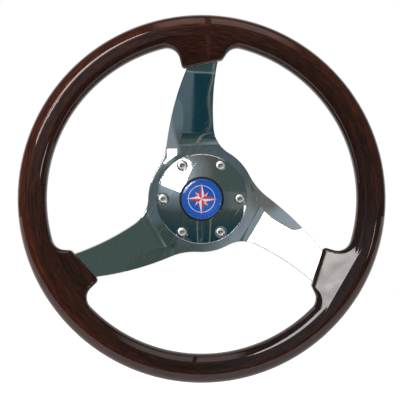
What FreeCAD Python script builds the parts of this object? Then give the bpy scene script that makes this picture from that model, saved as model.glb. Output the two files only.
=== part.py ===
"""Boat steering wheel: a mahogany rim glued over a dished, polished stainless spider.

The wheel stands upright, as it does on the helm. The shaft's axis is Y, the front faces
-Y and one spoke points up along +Z. The origin is the centre of the boss's rear face,
where the shaft enters. Below, "forward" is the distance from there towards the front.
"""

import FreeCAD, Part
import math
import os

import Sketcher

# Driving dimensions in millimetres, slopes and turns in degrees.
SIZES = {
    # mahogany rim
    "rim_diameter": 350.0,
    "rim_width": 28.0,
    "rim_depth": 25.0,
    "rim_side_flat": 1.0,
    "dish": 28.5,
    # wings of wood over the spoke ends, as long as they reach in from the rim
    "wing_left_across": 18.3,
    "wing_left_length": 23.8,
    "wing_right_across": 19.5,
    "wing_right_length": 15.7,
    "wing_left_flare": 14.0,
    "wing_right_flare": 34.0,
    "wing_left_flare_radius": 12.5,
    "wing_right_flare_radius": 12.0,
    "wing_slope": 18.0,
    "wing_crest_in_rim": 7.7,
    "wing_corner_radius": 3.6,
    "wing_end_round": 3.2,
    "wing_front_blend_short": 1.0,
    "wing_back_blend_short": 0.6,
    "wing_blend_reach": 13.0,
    # steel ring inside the wood
    "core_ring_width": 10.0,
    # spider
    "plate_thickness": 4.0,
    "disc_beyond_trim": 8.0,
    "root_bend_beyond_disc": 7.1,
    "tip_bend_inside_rim": 10.0,
    "root_fold_radius": 40.0,
    "tip_fold_radius": 30.0,
    "left_root_radius": 60.0,
    "left_edge_radius": 260.0,
    "left_inner_across": 33.1,
    "left_inner_beyond_disc": 6.0,
    "left_outer_across": 14.8,
    "right_root_radius": 30.0,
    "right_edge_radius": 227.0,
    "waist_across": 11.1,
    "waist_beyond_disc": 34.4,
    # trim ring
    "trim_beyond_screws": 6.6,
    "trim_bore_radius": 20.9,
    "trim_edge_thickness": 2.4,
    "trim_dome_radius": 140.0,
    "trim_chamfer": 0.5,
    # ring screws, M5 countersunk, on the standard 74 mm circle
    "screw_circle_radius": 37.0,
    "screw_count": 6,
    "screw_radius": 2.5,
    "screw_length": 16.0,
    "screw_head_radius": 5.0,
    "screw_head_drop": 1.5,
    "screw_socket_flats": 3.0,
    "screw_socket_depth": 2.2,
    "screw_recess_radius": 5.65,
    "screw_point": 0.4,
    "screw_clearance": 0.25,
    "thread_clearance": 0.05,
    "tapping_beyond_screw": 1.0,
    # boss
    "boss_length": 48.0,
    "boss_flange_thickness": 10.0,
    "boss_nose_radius": 24.0,
    "boss_nose_length": 14.0,
    "boss_waist_round": 8.0,
    "boss_chamfer": 1.0,
    "shaft_mouth_radius": 9.525,
    "shaft_taper_length": 32.0,
    "shaft_taper_ratio": 24.0,
    "keyway_width": 4.76,
    "keyway_depth": 2.375,
    "nut_room_radius": 17.0,
    "cap_room_depth": 8.0,
    # centre cap
    "cap_clearance": 0.3,
    "cap_proud": 0.6,
    "cap_rim_round": 0.6,
    "cap_face_thickness": 2.4,
    "cap_wall": 2.6,
    "cap_skirt_relief": 0.25,
    "cord_section_radius": 0.9,
    "cord_bore_gap": 0.1,
    "cord_side_room": 0.15,
    "cord_below_face": 4.2,
    # badge
    "badge_border": 1.35,
    "badge_recess_depth": 0.7,
    "badge_fit": 0.1,
    "label_thickness": 0.25,
    "dome_edge": 0.2,
    "dome_shoulder_radius": 0.9,
    "dome_crown_radius": 220.0,
}

SPOKE_TURNS = (0, 120, 240)
WING_BLEND_POWER = 1.5
UPRIGHT = FreeCAD.Rotation(FreeCAD.Vector(1, 0, 0), 90)

# Places that several pieces share, worked out from the sizes above.
TRIM_OUTER = "(Sizes.screw_circle_radius + Sizes.trim_beyond_screws)"
DISC_RADIUS = f"({TRIM_OUTER} + Sizes.disc_beyond_trim)"
SECTOR_ACROSS = f"({DISC_RADIUS} * cos(30))"
SECTOR_UP = f"({DISC_RADIUS} * sin(30))"
DISC_BACK = "Sizes.boss_length"
DISC_FRONT = "(Sizes.boss_length + Sizes.plate_thickness)"
DISC_MIDDLE = "(Sizes.boss_length + Sizes.plate_thickness / 2)"
RIM_MIDDLE = "(Sizes.boss_length + Sizes.plate_thickness / 2 + Sizes.dish)"
RIM_FRONT = f"({RIM_MIDDLE} + Sizes.rim_depth / 2)"
RIM_BACK = f"({RIM_MIDDLE} - Sizes.rim_depth / 2)"
RIM_ROUND = "((Sizes.rim_depth - Sizes.rim_side_flat) / 2)"
RIM_OUTER = "(Sizes.rim_diameter / 2)"
RIM_INNER = "(Sizes.rim_diameter / 2 - Sizes.rim_width)"
RIM_CREST = "(Sizes.rim_diameter / 2 - Sizes.rim_width / 2)"
WING_LEFT_END = f"({RIM_INNER} - Sizes.wing_left_length)"
WING_RIGHT_END = f"({RIM_INNER} - Sizes.wing_right_length)"
WING_LOW = f"({WING_LEFT_END} - Sizes.rim_depth)"
CORE_INNER = f"({RIM_CREST} - Sizes.core_ring_width / 2)"
TONGUE_END = f"({CORE_INNER} + Sizes.plate_thickness)"
ROOT_BEND = f"({DISC_RADIUS} + Sizes.root_bend_beyond_disc)"
TIP_BEND = f"({RIM_INNER} - Sizes.tip_bend_inside_rim)"
SPOKE_SLOPE = f"atan(Sizes.dish / ({TIP_BEND} - {ROOT_BEND}))"
DOME_CENTRE = (
    f"({DISC_FRONT} + Sizes.trim_edge_thickness"
    f" - sqrt(Sizes.trim_dome_radius ^ 2 - {TRIM_OUTER} ^ 2))"
)
TRIM_CREST = f"({DOME_CENTRE} + sqrt(Sizes.trim_dome_radius ^ 2 - Sizes.trim_bore_radius ^ 2))"
HEAD_TOP = (
    f"({DOME_CENTRE} + sqrt(Sizes.trim_dome_radius ^ 2 - Sizes.screw_circle_radius ^ 2)"
    " - Sizes.screw_head_drop)"
)
HEAD_DEPTH = "(Sizes.screw_head_radius - Sizes.screw_radius)"
CAP_FACE = f"({TRIM_CREST} + Sizes.cap_proud)"
CAP_RADIUS = "(Sizes.trim_bore_radius - Sizes.cap_clearance)"
SKIRT_RADIUS = f"({CAP_RADIUS} - Sizes.cap_skirt_relief)"
CAP_ROOM_FLOOR = "(Sizes.boss_length - Sizes.cap_room_depth)"
CORD_FORWARD = f"({CAP_FACE} - Sizes.cord_below_face)"
CORD_RING_RADIUS = "(Sizes.trim_bore_radius - Sizes.cord_bore_gap - Sizes.cord_section_radius)"
BADGE_RADIUS = f"({CAP_RADIUS} - Sizes.badge_border)"
LABEL_BACK = f"({CAP_FACE} - Sizes.badge_recess_depth)"
DOME_BACK = f"({LABEL_BACK} + Sizes.label_thickness)"
SHANK_END = f"({HEAD_TOP} - Sizes.screw_length)"

doc = FreeCAD.newDocument("boat_wheel")
sheet = doc.addObject("Spreadsheet::Sheet", "Sizes")
for row, (alias, size) in enumerate(SIZES.items(), start=1):
    sheet.set(f"A{row}", alias)
    sheet.set(f"B{row}", str(size))
    sheet.setAlias(f"B{row}", alias)
doc.recompute()


def number(expression):
    """The number that an expression over the sheet gives."""
    found = sheet.evalExpression(expression)
    return float(getattr(found, "Value", found))


def new_body(label):
    body = doc.addObject("PartDesign::Body", label)
    body.Label = label
    return body


def plane_of(body, role):
    """One of the body's own origin planes, found by its role."""
    return next(plane for plane in body.Origin.OriginFeatures if plane.Role == role)


def face_sketch(body, name, forward="0"):
    """Sketch seen from the front: across to the right, up, and pads that come forward."""
    sketch = body.newObject("Sketcher::SketchObject", name)
    sketch.AttachmentSupport = (plane_of(body, "XZ_Plane"), [""])
    sketch.MapMode = "FlatFace"
    sketch.setExpression("AttachmentOffset.Base.z", forward)
    return sketch


def section_sketch(body, name):
    """Sketch of a section through the axis: first coordinate forward, second one out."""
    sketch = body.newObject("Sketcher::SketchObject", name)
    sketch.AttachmentSupport = (plane_of(body, "YZ_Plane"), [""])
    sketch.MapMode = "FlatFace"
    half_turn = FreeCAD.Rotation(FreeCAD.Vector(0, 1, 0), 180)
    sketch.AttachmentOffset = FreeCAD.Placement(FreeCAD.Vector(), half_turn)
    return sketch


def level_sketch(body, name):
    """Sketch of a level section through the axis: across to the right, then forward."""
    sketch = body.newObject("Sketcher::SketchObject", name)
    sketch.AttachmentSupport = (plane_of(body, "XY_Plane"), [""])
    sketch.MapMode = "FlatFace"
    half_turn = FreeCAD.Rotation(FreeCAD.Vector(1, 0, 0), 180)
    sketch.AttachmentOffset = FreeCAD.Placement(FreeCAD.Vector(), half_turn)
    return sketch


def bind(sketch, kind, *elements, to):
    """Dimension that takes its value from the sheet."""
    index = sketch.addConstraint(Sketcher.Constraint(kind, *elements, number(to)))
    sketch.setExpression(f"Constraints[{index}]", to)


def pin(sketch, element, end, across, up):
    """Hold a point at two expressions, measured from the sketch's origin."""
    bind(sketch, "DistanceX", -1, 1, element, end, to=across)
    bind(sketch, "DistanceY", -1, 1, element, end, to=up)


def join(sketch, first, first_end, second, second_end):
    sketch.addConstraint(Sketcher.Constraint("Coincident", first, first_end, second, second_end))


def arc_ends(sketch, arc, start):
    """Numbers of an arc's ends, the one at the given start first."""
    at_start = sketch.getPoint(arc, 1).distanceToPoint(start) < 1e-6
    return (1, 2) if at_start else (2, 1)


def add_arc(sketch, start, end, radius, bulge):
    """Arc from start to end that bulges to the left (1) or the right (-1) of its way."""
    chord = end - start
    left = FreeCAD.Vector(-chord.y, chord.x, 0).normalize()
    rise = radius - math.sqrt(max(radius**2 - (chord.Length / 2) ** 2, 0))
    middle = (start + end) / 2 + left * (bulge * rise)
    return sketch.addGeometry(Part.Arc(start, middle, end), False)


def outline(sketch, corners):
    """Closed outline. A corner is (across, up), with (radius, bulge) if an arc leaves it."""
    points = [FreeCAD.Vector(number(corner[0]), number(corner[1]), 0) for corner in corners]
    edges = []
    for index, corner in enumerate(corners):
        start = points[index]
        end = points[(index + 1) % len(points)]
        if len(corner) == 4:
            edge = add_arc(sketch, start, end, number(corner[2]), corner[3])
            ends = arc_ends(sketch, edge, start)
            bind(sketch, "Radius", edge, to=corner[2])
        else:
            edge = sketch.addGeometry(Part.LineSegment(start, end), False)
            ends = (1, 2)
        edges.append((edge, ends))
    for index, (edge, ends) in enumerate(edges):
        following, following_ends = edges[(index + 1) % len(edges)]
        join(sketch, edge, ends[1], following, following_ends[0])
        pin(sketch, edge, ends[0], corners[index][0], corners[index][1])


def circle(sketch, radius, across="0", up="0"):
    centre = FreeCAD.Vector(number(across), number(up), 0)
    upward = FreeCAD.Vector(0, 0, 1)
    element = sketch.addGeometry(Part.Circle(centre, upward, number(radius)), False)
    bind(sketch, "Radius", element, to=radius)
    pin(sketch, element, 3, across, up)


def turned(body, sketch, name):
    """Solid of revolution about the shaft's axis."""
    feature = body.newObject("PartDesign::Revolution", name)
    feature.Profile = sketch
    feature.ReferenceAxis = (sketch, ["H_Axis"])
    feature.Angle = 360
    return feature


def padded(body, sketch, name, length, side="One side"):
    feature = body.newObject("PartDesign::Pad", name)
    feature.Profile = sketch
    feature.SideType = side
    feature.setExpression("Length", length)
    return feature


def cut_through(body, sketch, name):
    """Pocket that goes right through, both ways from its sketch."""
    feature = body.newObject("PartDesign::Pocket", name)
    feature.Profile = sketch
    feature.Type = "ThroughAll"
    feature.SideType = "Symmetric"
    return feature


def around_axis(body, features, sketch, name, count, axis="N_Axis"):
    """Polar pattern about the shaft's axis, which becomes the body's tip."""
    pattern = body.newObject("PartDesign::PolarPattern", name)
    pattern.Originals = features
    pattern.Axis = (sketch, [axis])
    pattern.Angle = 360
    pattern.setExpression("Occurrences", count)
    body.Tip = pattern
    return pattern


def circles_meet(centre_a, radius_a, centre_b, radius_b, side):
    """Where two circles meet, on the left (1) or right (-1) of the line from a to b."""
    line = centre_b - centre_a
    along = (radius_a**2 - radius_b**2 + line.Length**2) / (2 * line.Length)
    aside = math.sqrt(radius_a**2 - along**2)
    unit = FreeCAD.Vector(line).normalize()
    left = FreeCAD.Vector(-unit.y, unit.x, 0)
    return centre_a + unit * along + left * (side * aside)


def make_hub_boss():
    """Turned aluminium boss: tapered and keyed bore, room for the nut, tapped flange."""
    body = new_body("hub_boss")
    section = section_sketch(body, "boss_section")
    flange_back = "(Sizes.boss_length - Sizes.boss_flange_thickness)"
    flange_corner = f"({TRIM_OUTER} - Sizes.boss_chamfer)"
    waist_slope = (
        f"atan(({flange_corner} - Sizes.boss_nose_radius)"
        f" / ({flange_back} - Sizes.boss_nose_length))"
    )
    waist_run = f"(Sizes.boss_waist_round * tan({waist_slope} / 2))"
    small_bore = "(Sizes.shaft_mouth_radius - Sizes.shaft_taper_length / Sizes.shaft_taper_ratio)"
    cap_room = "(Sizes.trim_bore_radius + Sizes.cap_clearance)"
    outline(
        section,
        [
            ("0", "Sizes.shaft_mouth_radius"),
            ("0", "Sizes.boss_nose_radius - Sizes.boss_chamfer"),
            ("Sizes.boss_chamfer", "Sizes.boss_nose_radius"),
            (
                f"Sizes.boss_nose_length - {waist_run}",
                "Sizes.boss_nose_radius",
                "Sizes.boss_waist_round",
                -1,
            ),
            (
                f"Sizes.boss_nose_length + {waist_run} * cos({waist_slope})",
                f"Sizes.boss_nose_radius + {waist_run} * sin({waist_slope})",
            ),
            (flange_back, flange_corner),
            (f"{flange_back} + Sizes.boss_chamfer", TRIM_OUTER),
            (DISC_BACK, TRIM_OUTER),
            (DISC_BACK, cap_room),
            (CAP_ROOM_FLOOR, cap_room),
            (CAP_ROOM_FLOOR, "Sizes.nut_room_radius"),
            ("Sizes.shaft_taper_length", "Sizes.nut_room_radius"),
            ("Sizes.shaft_taper_length", small_bore),
        ],
    )
    turned(body, section, "boss_turning")

    key = face_sketch(body, "keyway_end")
    half_key = "Sizes.keyway_width / 2"
    rectangle(
        key, f"-{half_key}", "0", half_key, "Sizes.shaft_mouth_radius + Sizes.keyway_depth"
    )
    keyway = body.newObject("PartDesign::Pocket", "keyway")
    keyway.Profile = key
    keyway.Reversed = True
    keyway.setExpression("Length", "Sizes.shaft_taper_length")

    tapping = face_sketch(body, "tapping_centre", DISC_BACK)
    circle(
        tapping,
        "Sizes.screw_radius + Sizes.thread_clearance",
        across="Sizes.screw_circle_radius",
    )
    tapped = body.newObject("PartDesign::Pocket", "tapped_hole")
    tapped.Profile = tapping
    tapped.setExpression("Length", f"{DISC_BACK} - {SHANK_END} + Sizes.tapping_beyond_screw")
    around_axis(body, [tapped], tapping, "tapped_holes", "Sizes.screw_count")
    return body


def make_spider():
    """Spider: one plate, cut to its outline and folded, so that it carries the rim in front.

    Each spoke starts as a folded strip. Its flanks are cut along arcs that run into the
    round centre, and its tongue runs on through the wood as far as the steel ring.
    """
    body = new_body("spider")
    disc = face_sketch(body, "centre_disc", DISC_BACK)
    circle(disc, DISC_RADIUS)
    padded(body, disc, "centre_plate", "Sizes.plate_thickness")

    strip = section_sketch(body, "folded_strip")
    folded_strip(strip)
    strip_pad = padded(body, strip, "spoke_strip", f"2 * {SECTOR_ACROSS}", "Symmetric")

    flanks = face_sketch(body, "spoke_flanks")
    left_flank(flanks)
    right_flank(flanks)
    flank_cut = cut_through(body, flanks, "flank_cut")
    around_axis(body, [strip_pad, flank_cut], flanks, "three_spokes", str(len(SPOKE_TURNS)))

    ends = section_sketch(body, "tongue_ends")
    rectangle(
        ends,
        f"{RIM_MIDDLE} - Sizes.plate_thickness",
        CORE_INNER,
        f"{RIM_MIDDLE} + Sizes.plate_thickness",
        RIM_OUTER,
    )
    trim = body.newObject("PartDesign::Groove", "tongue_trim")
    trim.Profile = ends
    trim.ReferenceAxis = (ends, ["H_Axis"])
    trim.Angle = 360

    centre = face_sketch(body, "centre_hole")
    circle(centre, "Sizes.trim_bore_radius + Sizes.cap_clearance")
    cut_through(body, centre, "centre_opening")
    screw = face_sketch(body, "screw_hole")
    circle(
        screw,
        "Sizes.screw_radius + Sizes.screw_clearance",
        across="Sizes.screw_circle_radius",
    )
    hole = cut_through(body, screw, "screw_opening")
    around_axis(body, [hole], screw, "screw_openings", "Sizes.screw_count")
    return body


def folded_strip(sketch):
    """Edge view of a spoke: flat at the hub, folded forward, folded flat again in the rim."""
    slope = SPOKE_SLOPE
    half = "Sizes.plate_thickness / 2"
    root = "Sizes.root_fold_radius"
    tip = "Sizes.tip_fold_radius"
    # Ends of the two folds on the plate's middle line, forward and out.
    start = f"({ROOT_BEND} - {root} * tan({slope} / 2))"
    root_end = (
        f"({DISC_MIDDLE} + {root} * (1 - cos({slope})))",
        f"({start} + {root} * sin({slope}))",
    )
    tip_end = f"({TIP_BEND} + {tip} * tan({slope} / 2))"
    tip_start = (
        f"({RIM_MIDDLE} - {tip} * (1 - cos({slope})))",
        f"({tip_end} - {tip} * sin({slope}))",
    )
    ahead = f"{half} * cos({slope})"
    aside = f"{half} * sin({slope})"
    outline(
        sketch,
        [
            (DISC_FRONT, SECTOR_UP),
            (DISC_FRONT, start, f"{root} - {half}", 1),
            (f"{root_end[0]} + {ahead}", f"{root_end[1]} - {aside}"),
            (f"{tip_start[0]} + {ahead}", f"{tip_start[1]} - {aside}", f"{tip} + {half}", -1),
            (f"{RIM_MIDDLE} + {half}", tip_end),
            (f"{RIM_MIDDLE} + {half}", TONGUE_END),
            (f"{RIM_MIDDLE} - {half}", TONGUE_END),
            (f"{RIM_MIDDLE} - {half}", tip_end, f"{tip} - {half}", 1),
            (f"{tip_start[0]} - {ahead}", f"{tip_start[1]} + {aside}"),
            (f"{root_end[0]} - {ahead}", f"{root_end[1]} + {aside}", f"{root} + {half}", -1),
            (DISC_BACK, start),
            (DISC_BACK, SECTOR_UP),
        ],
    )


def left_flank(sketch):
    """Waste on the left of the upper spoke: a hollow arc off the disc, then a swelling edge."""
    disc = number(DISC_RADIUS)
    root = number("Sizes.left_root_radius")
    edge = number("Sizes.left_edge_radius")
    inner = ("-Sizes.left_inner_across", f"{DISC_RADIUS} + Sizes.left_inner_beyond_disc")
    outer = ("-Sizes.left_outer_across", WING_LEFT_END)
    inner_point = FreeCAD.Vector(number(inner[0]), number(inner[1]), 0)
    outer_point = FreeCAD.Vector(number(outer[0]), number(outer[1]), 0)
    edge_centre = circles_meet(inner_point, edge, outer_point, edge, -1)
    root_centre = circles_meet(FreeCAD.Vector(), disc + root, edge_centre, edge + root, 1)
    leaves_disc = root_centre * (disc / (disc + root))
    changes_bend = root_centre + (edge_centre - root_centre) * (root / (edge + root))
    reach = number(TONGUE_END)
    runs_out = edge_centre - FreeCAD.Vector(math.sqrt(edge**2 - (reach - edge_centre.y) ** 2), 0, 0)
    runs_out.y = reach
    arcs = flank(sketch, "-1", leaves_disc, changes_bend, runs_out, (root, -1), (edge, 1))
    bind(sketch, "Radius", arcs[0], to="Sizes.left_root_radius")
    bind(sketch, "Radius", arcs[1], to="Sizes.left_edge_radius")
    pass_through(sketch, arcs[1], *inner)
    pass_through(sketch, arcs[1], *outer)


def right_flank(sketch):
    """Waste on the right of the upper spoke: two hollow arcs that form its waist."""
    disc = number(DISC_RADIUS)
    root = number("Sizes.right_root_radius")
    edge = number("Sizes.right_edge_radius")
    waist = (
        "Sizes.waist_across + Sizes.right_edge_radius",
        f"{DISC_RADIUS} + Sizes.waist_beyond_disc",
    )
    edge_centre = FreeCAD.Vector(number(waist[0]), number(waist[1]), 0)
    root_centre = circles_meet(FreeCAD.Vector(), disc + root, edge_centre, edge - root, 1)
    leaves_disc = root_centre * (disc / (disc + root))
    changes_bend = edge_centre + (root_centre - edge_centre).normalize() * edge
    reach = number(TONGUE_END)
    runs_out = edge_centre - FreeCAD.Vector(math.sqrt(edge**2 - (reach - edge_centre.y) ** 2), 0, 0)
    runs_out.y = reach
    arcs = flank(sketch, "1", leaves_disc, changes_bend, runs_out, (root, 1), (edge, 1))
    bind(sketch, "Radius", arcs[0], to="Sizes.right_root_radius")
    pin(sketch, arcs[1], 3, *waist)
    bind(sketch, "Radius", arcs[1], to="Sizes.right_edge_radius")


def flank(sketch, side, leaves_disc, changes_bend, runs_out, root_arc, edge_arc):
    """Closed outline of waste: disc, root arc, edge arc, and a straight frame outside them."""
    corner = FreeCAD.Vector(number(f"{side} * {SECTOR_ACROSS}"), number(SECTOR_UP), 0)
    frame = number(f"{side} * {DISC_RADIUS}")
    outer = FreeCAD.Vector(frame, runs_out.y, 0)
    lower = FreeCAD.Vector(frame, corner.y, 0)
    disc = number(DISC_RADIUS)
    disc_arc = add_arc(sketch, corner, leaves_disc, disc, -number(side))
    root = add_arc(sketch, leaves_disc, changes_bend, *root_arc)
    edge = add_arc(sketch, changes_bend, runs_out, *edge_arc)
    top = sketch.addGeometry(Part.LineSegment(runs_out, outer), False)
    rim_side = sketch.addGeometry(Part.LineSegment(outer, lower), False)
    bottom = sketch.addGeometry(Part.LineSegment(lower, corner), False)
    disc_ends = arc_ends(sketch, disc_arc, corner)
    root_ends = arc_ends(sketch, root, leaves_disc)
    edge_ends = arc_ends(sketch, edge, changes_bend)
    join(sketch, disc_arc, 3, -1, 1)
    bind(sketch, "Radius", disc_arc, to=DISC_RADIUS)
    touch(sketch, disc_arc, disc_ends[1], root, root_ends[0])
    touch(sketch, root, root_ends[1], edge, edge_ends[0])
    join(sketch, edge, edge_ends[1], top, 1)
    join(sketch, top, 2, rim_side, 1)
    join(sketch, rim_side, 2, bottom, 1)
    join(sketch, bottom, 2, disc_arc, disc_ends[0])
    bind(sketch, "DistanceY", -1, 1, top, 1, to=TONGUE_END)
    pin(sketch, rim_side, 1, f"{side} * {DISC_RADIUS}", TONGUE_END)
    pin(sketch, bottom, 1, f"{side} * {DISC_RADIUS}", SECTOR_UP)
    bind(sketch, "DistanceY", -1, 1, bottom, 2, to=SECTOR_UP)
    return root, edge


def touch(sketch, first, first_end, second, second_end):
    """Two edges meet end to end and run into each other smoothly."""
    sketch.addConstraint(Sketcher.Constraint("Tangent", first, first_end, second, second_end))


def pass_through(sketch, element, across, up):
    """Make an edge pass through a point."""
    spot = FreeCAD.Vector(number(across), number(up), 0)
    point = sketch.addGeometry(Part.Point(spot), True)
    pin(sketch, point, 1, across, up)
    sketch.addConstraint(Sketcher.Constraint("PointOnObject", point, 1, element))


def rectangle(sketch, left, bottom, right, top):
    outline(sketch, [(left, bottom), (right, bottom), (right, top), (left, top)])


def make_rim_core_ring():
    """Flat steel ring inside the wood, welded to the ends of the three spokes."""
    body = new_body("rim_core_ring")
    section = section_sketch(body, "core_section")
    rectangle(
        section,
        f"{RIM_MIDDLE} - Sizes.plate_thickness / 2",
        CORE_INNER,
        f"{RIM_MIDDLE} + Sizes.plate_thickness / 2",
        f"{CORE_INNER} + Sizes.core_ring_width",
    )
    turned(body, section, "core_turning")
    return body


def make_rim_ring():
    """Plain wooden ring with its rounded section, before the wings are added."""
    body = new_body("rim_ring")
    section = section_sketch(body, "rim_section")
    inner_flat = (f"{RIM_INNER} + {RIM_ROUND}", f"{RIM_OUTER} - {RIM_ROUND}")
    side_flat = (f"{RIM_BACK} + {RIM_ROUND}", f"{RIM_FRONT} - {RIM_ROUND}")
    outline(
        section,
        [
            (side_flat[0], RIM_INNER),
            (side_flat[1], RIM_INNER, RIM_ROUND, -1),
            (RIM_FRONT, inner_flat[0]),
            (RIM_FRONT, inner_flat[1], RIM_ROUND, -1),
            (side_flat[1], RIM_OUTER),
            (side_flat[0], RIM_OUTER, RIM_ROUND, -1),
            (RIM_BACK, inner_flat[1]),
            (RIM_BACK, inner_flat[0], RIM_ROUND, -1),
        ],
    )
    turned(body, section, "rim_turning")
    return body


def make_wing(turn):
    """Wing of wood that covers a spoke's end, sloped in front and flared into the rim."""
    body = new_body(f"wing_{turn}")
    plan = face_sketch(body, "wing_plan", RIM_BACK)
    wing_plan(plan)
    padded(body, plan, "wing_block", "Sizes.rim_depth")
    slope = section_sketch(body, "wing_slope")
    crest = f"({RIM_INNER} + Sizes.wing_crest_in_rim)"
    outline(
        slope,
        [
            (RIM_FRONT, WING_LOW),
            (RIM_FRONT, crest),
            (f"{RIM_FRONT} - ({crest} - {WING_LOW}) * tan(Sizes.wing_slope)", WING_LOW),
        ],
    )
    front = cut_through(body, slope, "wing_front")
    doc.recompute()
    corners = []
    for index, edge in enumerate(body.Shape.Edges, start=1):
        first, last = edge.Vertexes[0].Point, edge.Vertexes[-1].Point
        upright = math.hypot(first.x - last.x, first.z - last.z) < 1e-6
        if upright and first.z < number(WING_RIGHT_END) + 1e-6:
            corners.append(f"Edge{index}")
    rounding = body.newObject("PartDesign::Fillet", "wing_corners")
    rounding.Base = (front, corners)
    rounding.setExpression("Radius", "Sizes.wing_corner_radius")
    doc.recompute()
    rounded = doc.addObject("Part::Fillet", f"rounded_wing_{turn}")
    rounded.Base = body
    rounded.Edges = wing_roundings(body.Shape)
    rounded.Placement = FreeCAD.Placement(
        FreeCAD.Vector(), FreeCAD.Rotation(FreeCAD.Vector(0, 1, 0), turn)
    )
    return rounded


def wing_roundings(shape):
    """Edges of the wing's front and back outlines, with the radius at both ends of each.

    The rounding is small at the narrow end and grows along the flares, until it runs into
    the round section of the rim. Both outlines run steadily from left to right.
    """
    inner = number(RIM_INNER)
    back = -number(RIM_BACK)
    outlines = {"Sizes.wing_front_blend_short": [], "Sizes.wing_back_blend_short": []}
    for index, edge in enumerate(shape.Edges, start=1):
        ends = [edge.Vertexes[0].Point, edge.Vertexes[-1].Point]
        upright = abs(ends[0].x - ends[1].x) < 1e-6
        buried = max(math.hypot(end.x, end.z) for end in ends) > inner + 0.01
        if upright or buried:
            continue
        in_back = max(abs(end.y - back) for end in ends) < 1e-6
        side = "Sizes.wing_back_blend_short" if in_back else "Sizes.wing_front_blend_short"
        outlines[side].append((index, ends))
    roundings = []
    for short, edges in outlines.items():
        full = number(f"{RIM_ROUND} - {short}")
        leading = edges[0][1]
        leftward = leading[0].x > leading[1].x
        for index, ends in edges:
            ordered = sorted(ends, key=lambda end: end.x, reverse=leftward)
            radii = [wing_radius(end, full) for end in ordered]
            roundings.append((index, *radii))
    return roundings


def wing_radius(point, full):
    """Radius of the rounding at a point of the wing's outline, by its distance to the rim."""
    least = number("Sizes.wing_end_round")
    reach = number("Sizes.wing_blend_reach")
    beyond = math.hypot(point.x, point.z) - (number(RIM_INNER) - reach)
    share = min(max(beyond / reach, 0), 1)
    return least + (full - least) * share**WING_BLEND_POWER


def wing_plan(sketch):
    """Outline of a wing seen from the front, with a hollow flare on either side."""
    left = wing_side("left", -1, WING_LEFT_END)
    right = wing_side("right", 1, WING_RIGHT_END)
    crest = number(RIM_CREST)
    left_in_rim = left[2] * (crest / left[2].Length)
    right_in_rim = right[2] * (crest / right[2].Length)
    sides = []
    for name, side, up, points, in_rim in (
        ("left", -1, WING_LEFT_END, left, left_in_rim),
        ("right", 1, WING_RIGHT_END, right, right_in_rim),
    ):
        end, foot, meets = points
        line = sketch.addGeometry(Part.LineSegment(end, foot), False)
        radius = f"Sizes.wing_{name}_flare_radius"
        flare = add_arc(sketch, foot, meets, number(radius), side)
        spoke_line = sketch.addGeometry(Part.LineSegment(meets, in_rim), False)
        flare_ends = arc_ends(sketch, flare, foot)
        pin(sketch, line, 1, f"{side} * Sizes.wing_{name}_across", up)
        bind_angle(sketch, line, f"90 - {side} * Sizes.wing_{name}_flare")
        touch(sketch, line, 2, flare, flare_ends[0])
        bind(sketch, "Radius", flare, to=radius)
        join(sketch, flare, flare_ends[1], spoke_line, 1)
        bind(sketch, "Distance", -1, 1, spoke_line, 1, to=RIM_INNER)
        sketch.addConstraint(Sketcher.Constraint("PointOnObject", -1, 1, spoke_line))
        sketch.addConstraint(Sketcher.Constraint("PointOnObject", flare, 3, spoke_line))
        sides.append((line, spoke_line))
    buried = add_arc(sketch, left_in_rim, right_in_rim, crest, 1)
    buried_ends = arc_ends(sketch, buried, left_in_rim)
    join(sketch, buried, 3, -1, 1)
    bind(sketch, "Radius", buried, to=RIM_CREST)
    join(sketch, sides[0][1], 2, buried, buried_ends[0])
    join(sketch, buried, buried_ends[1], sides[1][1], 2)
    end_line = sketch.addGeometry(Part.LineSegment(right[0], left[0]), False)
    join(sketch, sides[1][0], 1, end_line, 1)
    join(sketch, end_line, 2, sides[0][0], 1)


def bind_angle(sketch, line, degrees):
    angle = math.radians(number(degrees))
    index = sketch.addConstraint(Sketcher.Constraint("Angle", line, angle))
    sketch.setExpression(f"Constraints[{index}]", degrees)


def wing_side(name, side, up):
    """Corner of a wing, foot of its flare, and the place where the flare meets the rim."""
    across = side * number(f"Sizes.wing_{name}_across")
    corner = FreeCAD.Vector(across, number(up), 0)
    lean = math.radians(number(f"Sizes.wing_{name}_flare"))
    radius = number(f"Sizes.wing_{name}_flare_radius")
    inner = number(RIM_INNER)
    along = FreeCAD.Vector(side * math.sin(lean), math.cos(lean), 0)
    outward = FreeCAD.Vector(side * math.cos(lean), -math.sin(lean), 0)
    beside = corner + outward * radius
    half = beside.dot(along)
    run = -half + math.sqrt(half**2 - beside.dot(beside) + (inner - radius) ** 2)
    centre = beside + along * run
    return [corner, corner + along * run, centre * (inner / (inner - radius))]


def make_rim_halves(spider, core_ring):
    """Mahogany front and back halves, glued together over the ring and the spoke ends."""
    blank = doc.addObject("Part::MultiFuse", "rim_blank")
    blank.Shapes = [make_rim_ring()] + [make_wing(turn) for turn in SPOKE_TURNS]
    steel = doc.addObject("Part::Compound", "steel_in_rim")
    steel.Links = [spider, core_ring]
    ahead = make_room_ahead()
    front_wood = doc.addObject("Part::MultiCommon", "front_wood")
    front_wood.Shapes = [blank, ahead]
    back_wood = doc.addObject("Part::Cut", "back_wood")
    back_wood.Base = blank
    back_wood.Tool = ahead
    for label, wood in (("rim_front_half", front_wood), ("rim_back_half", back_wood)):
        half = doc.addObject("Part::Cut", label)
        half.Label = label
        half.Base = wood
        half.Tool = steel


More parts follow.
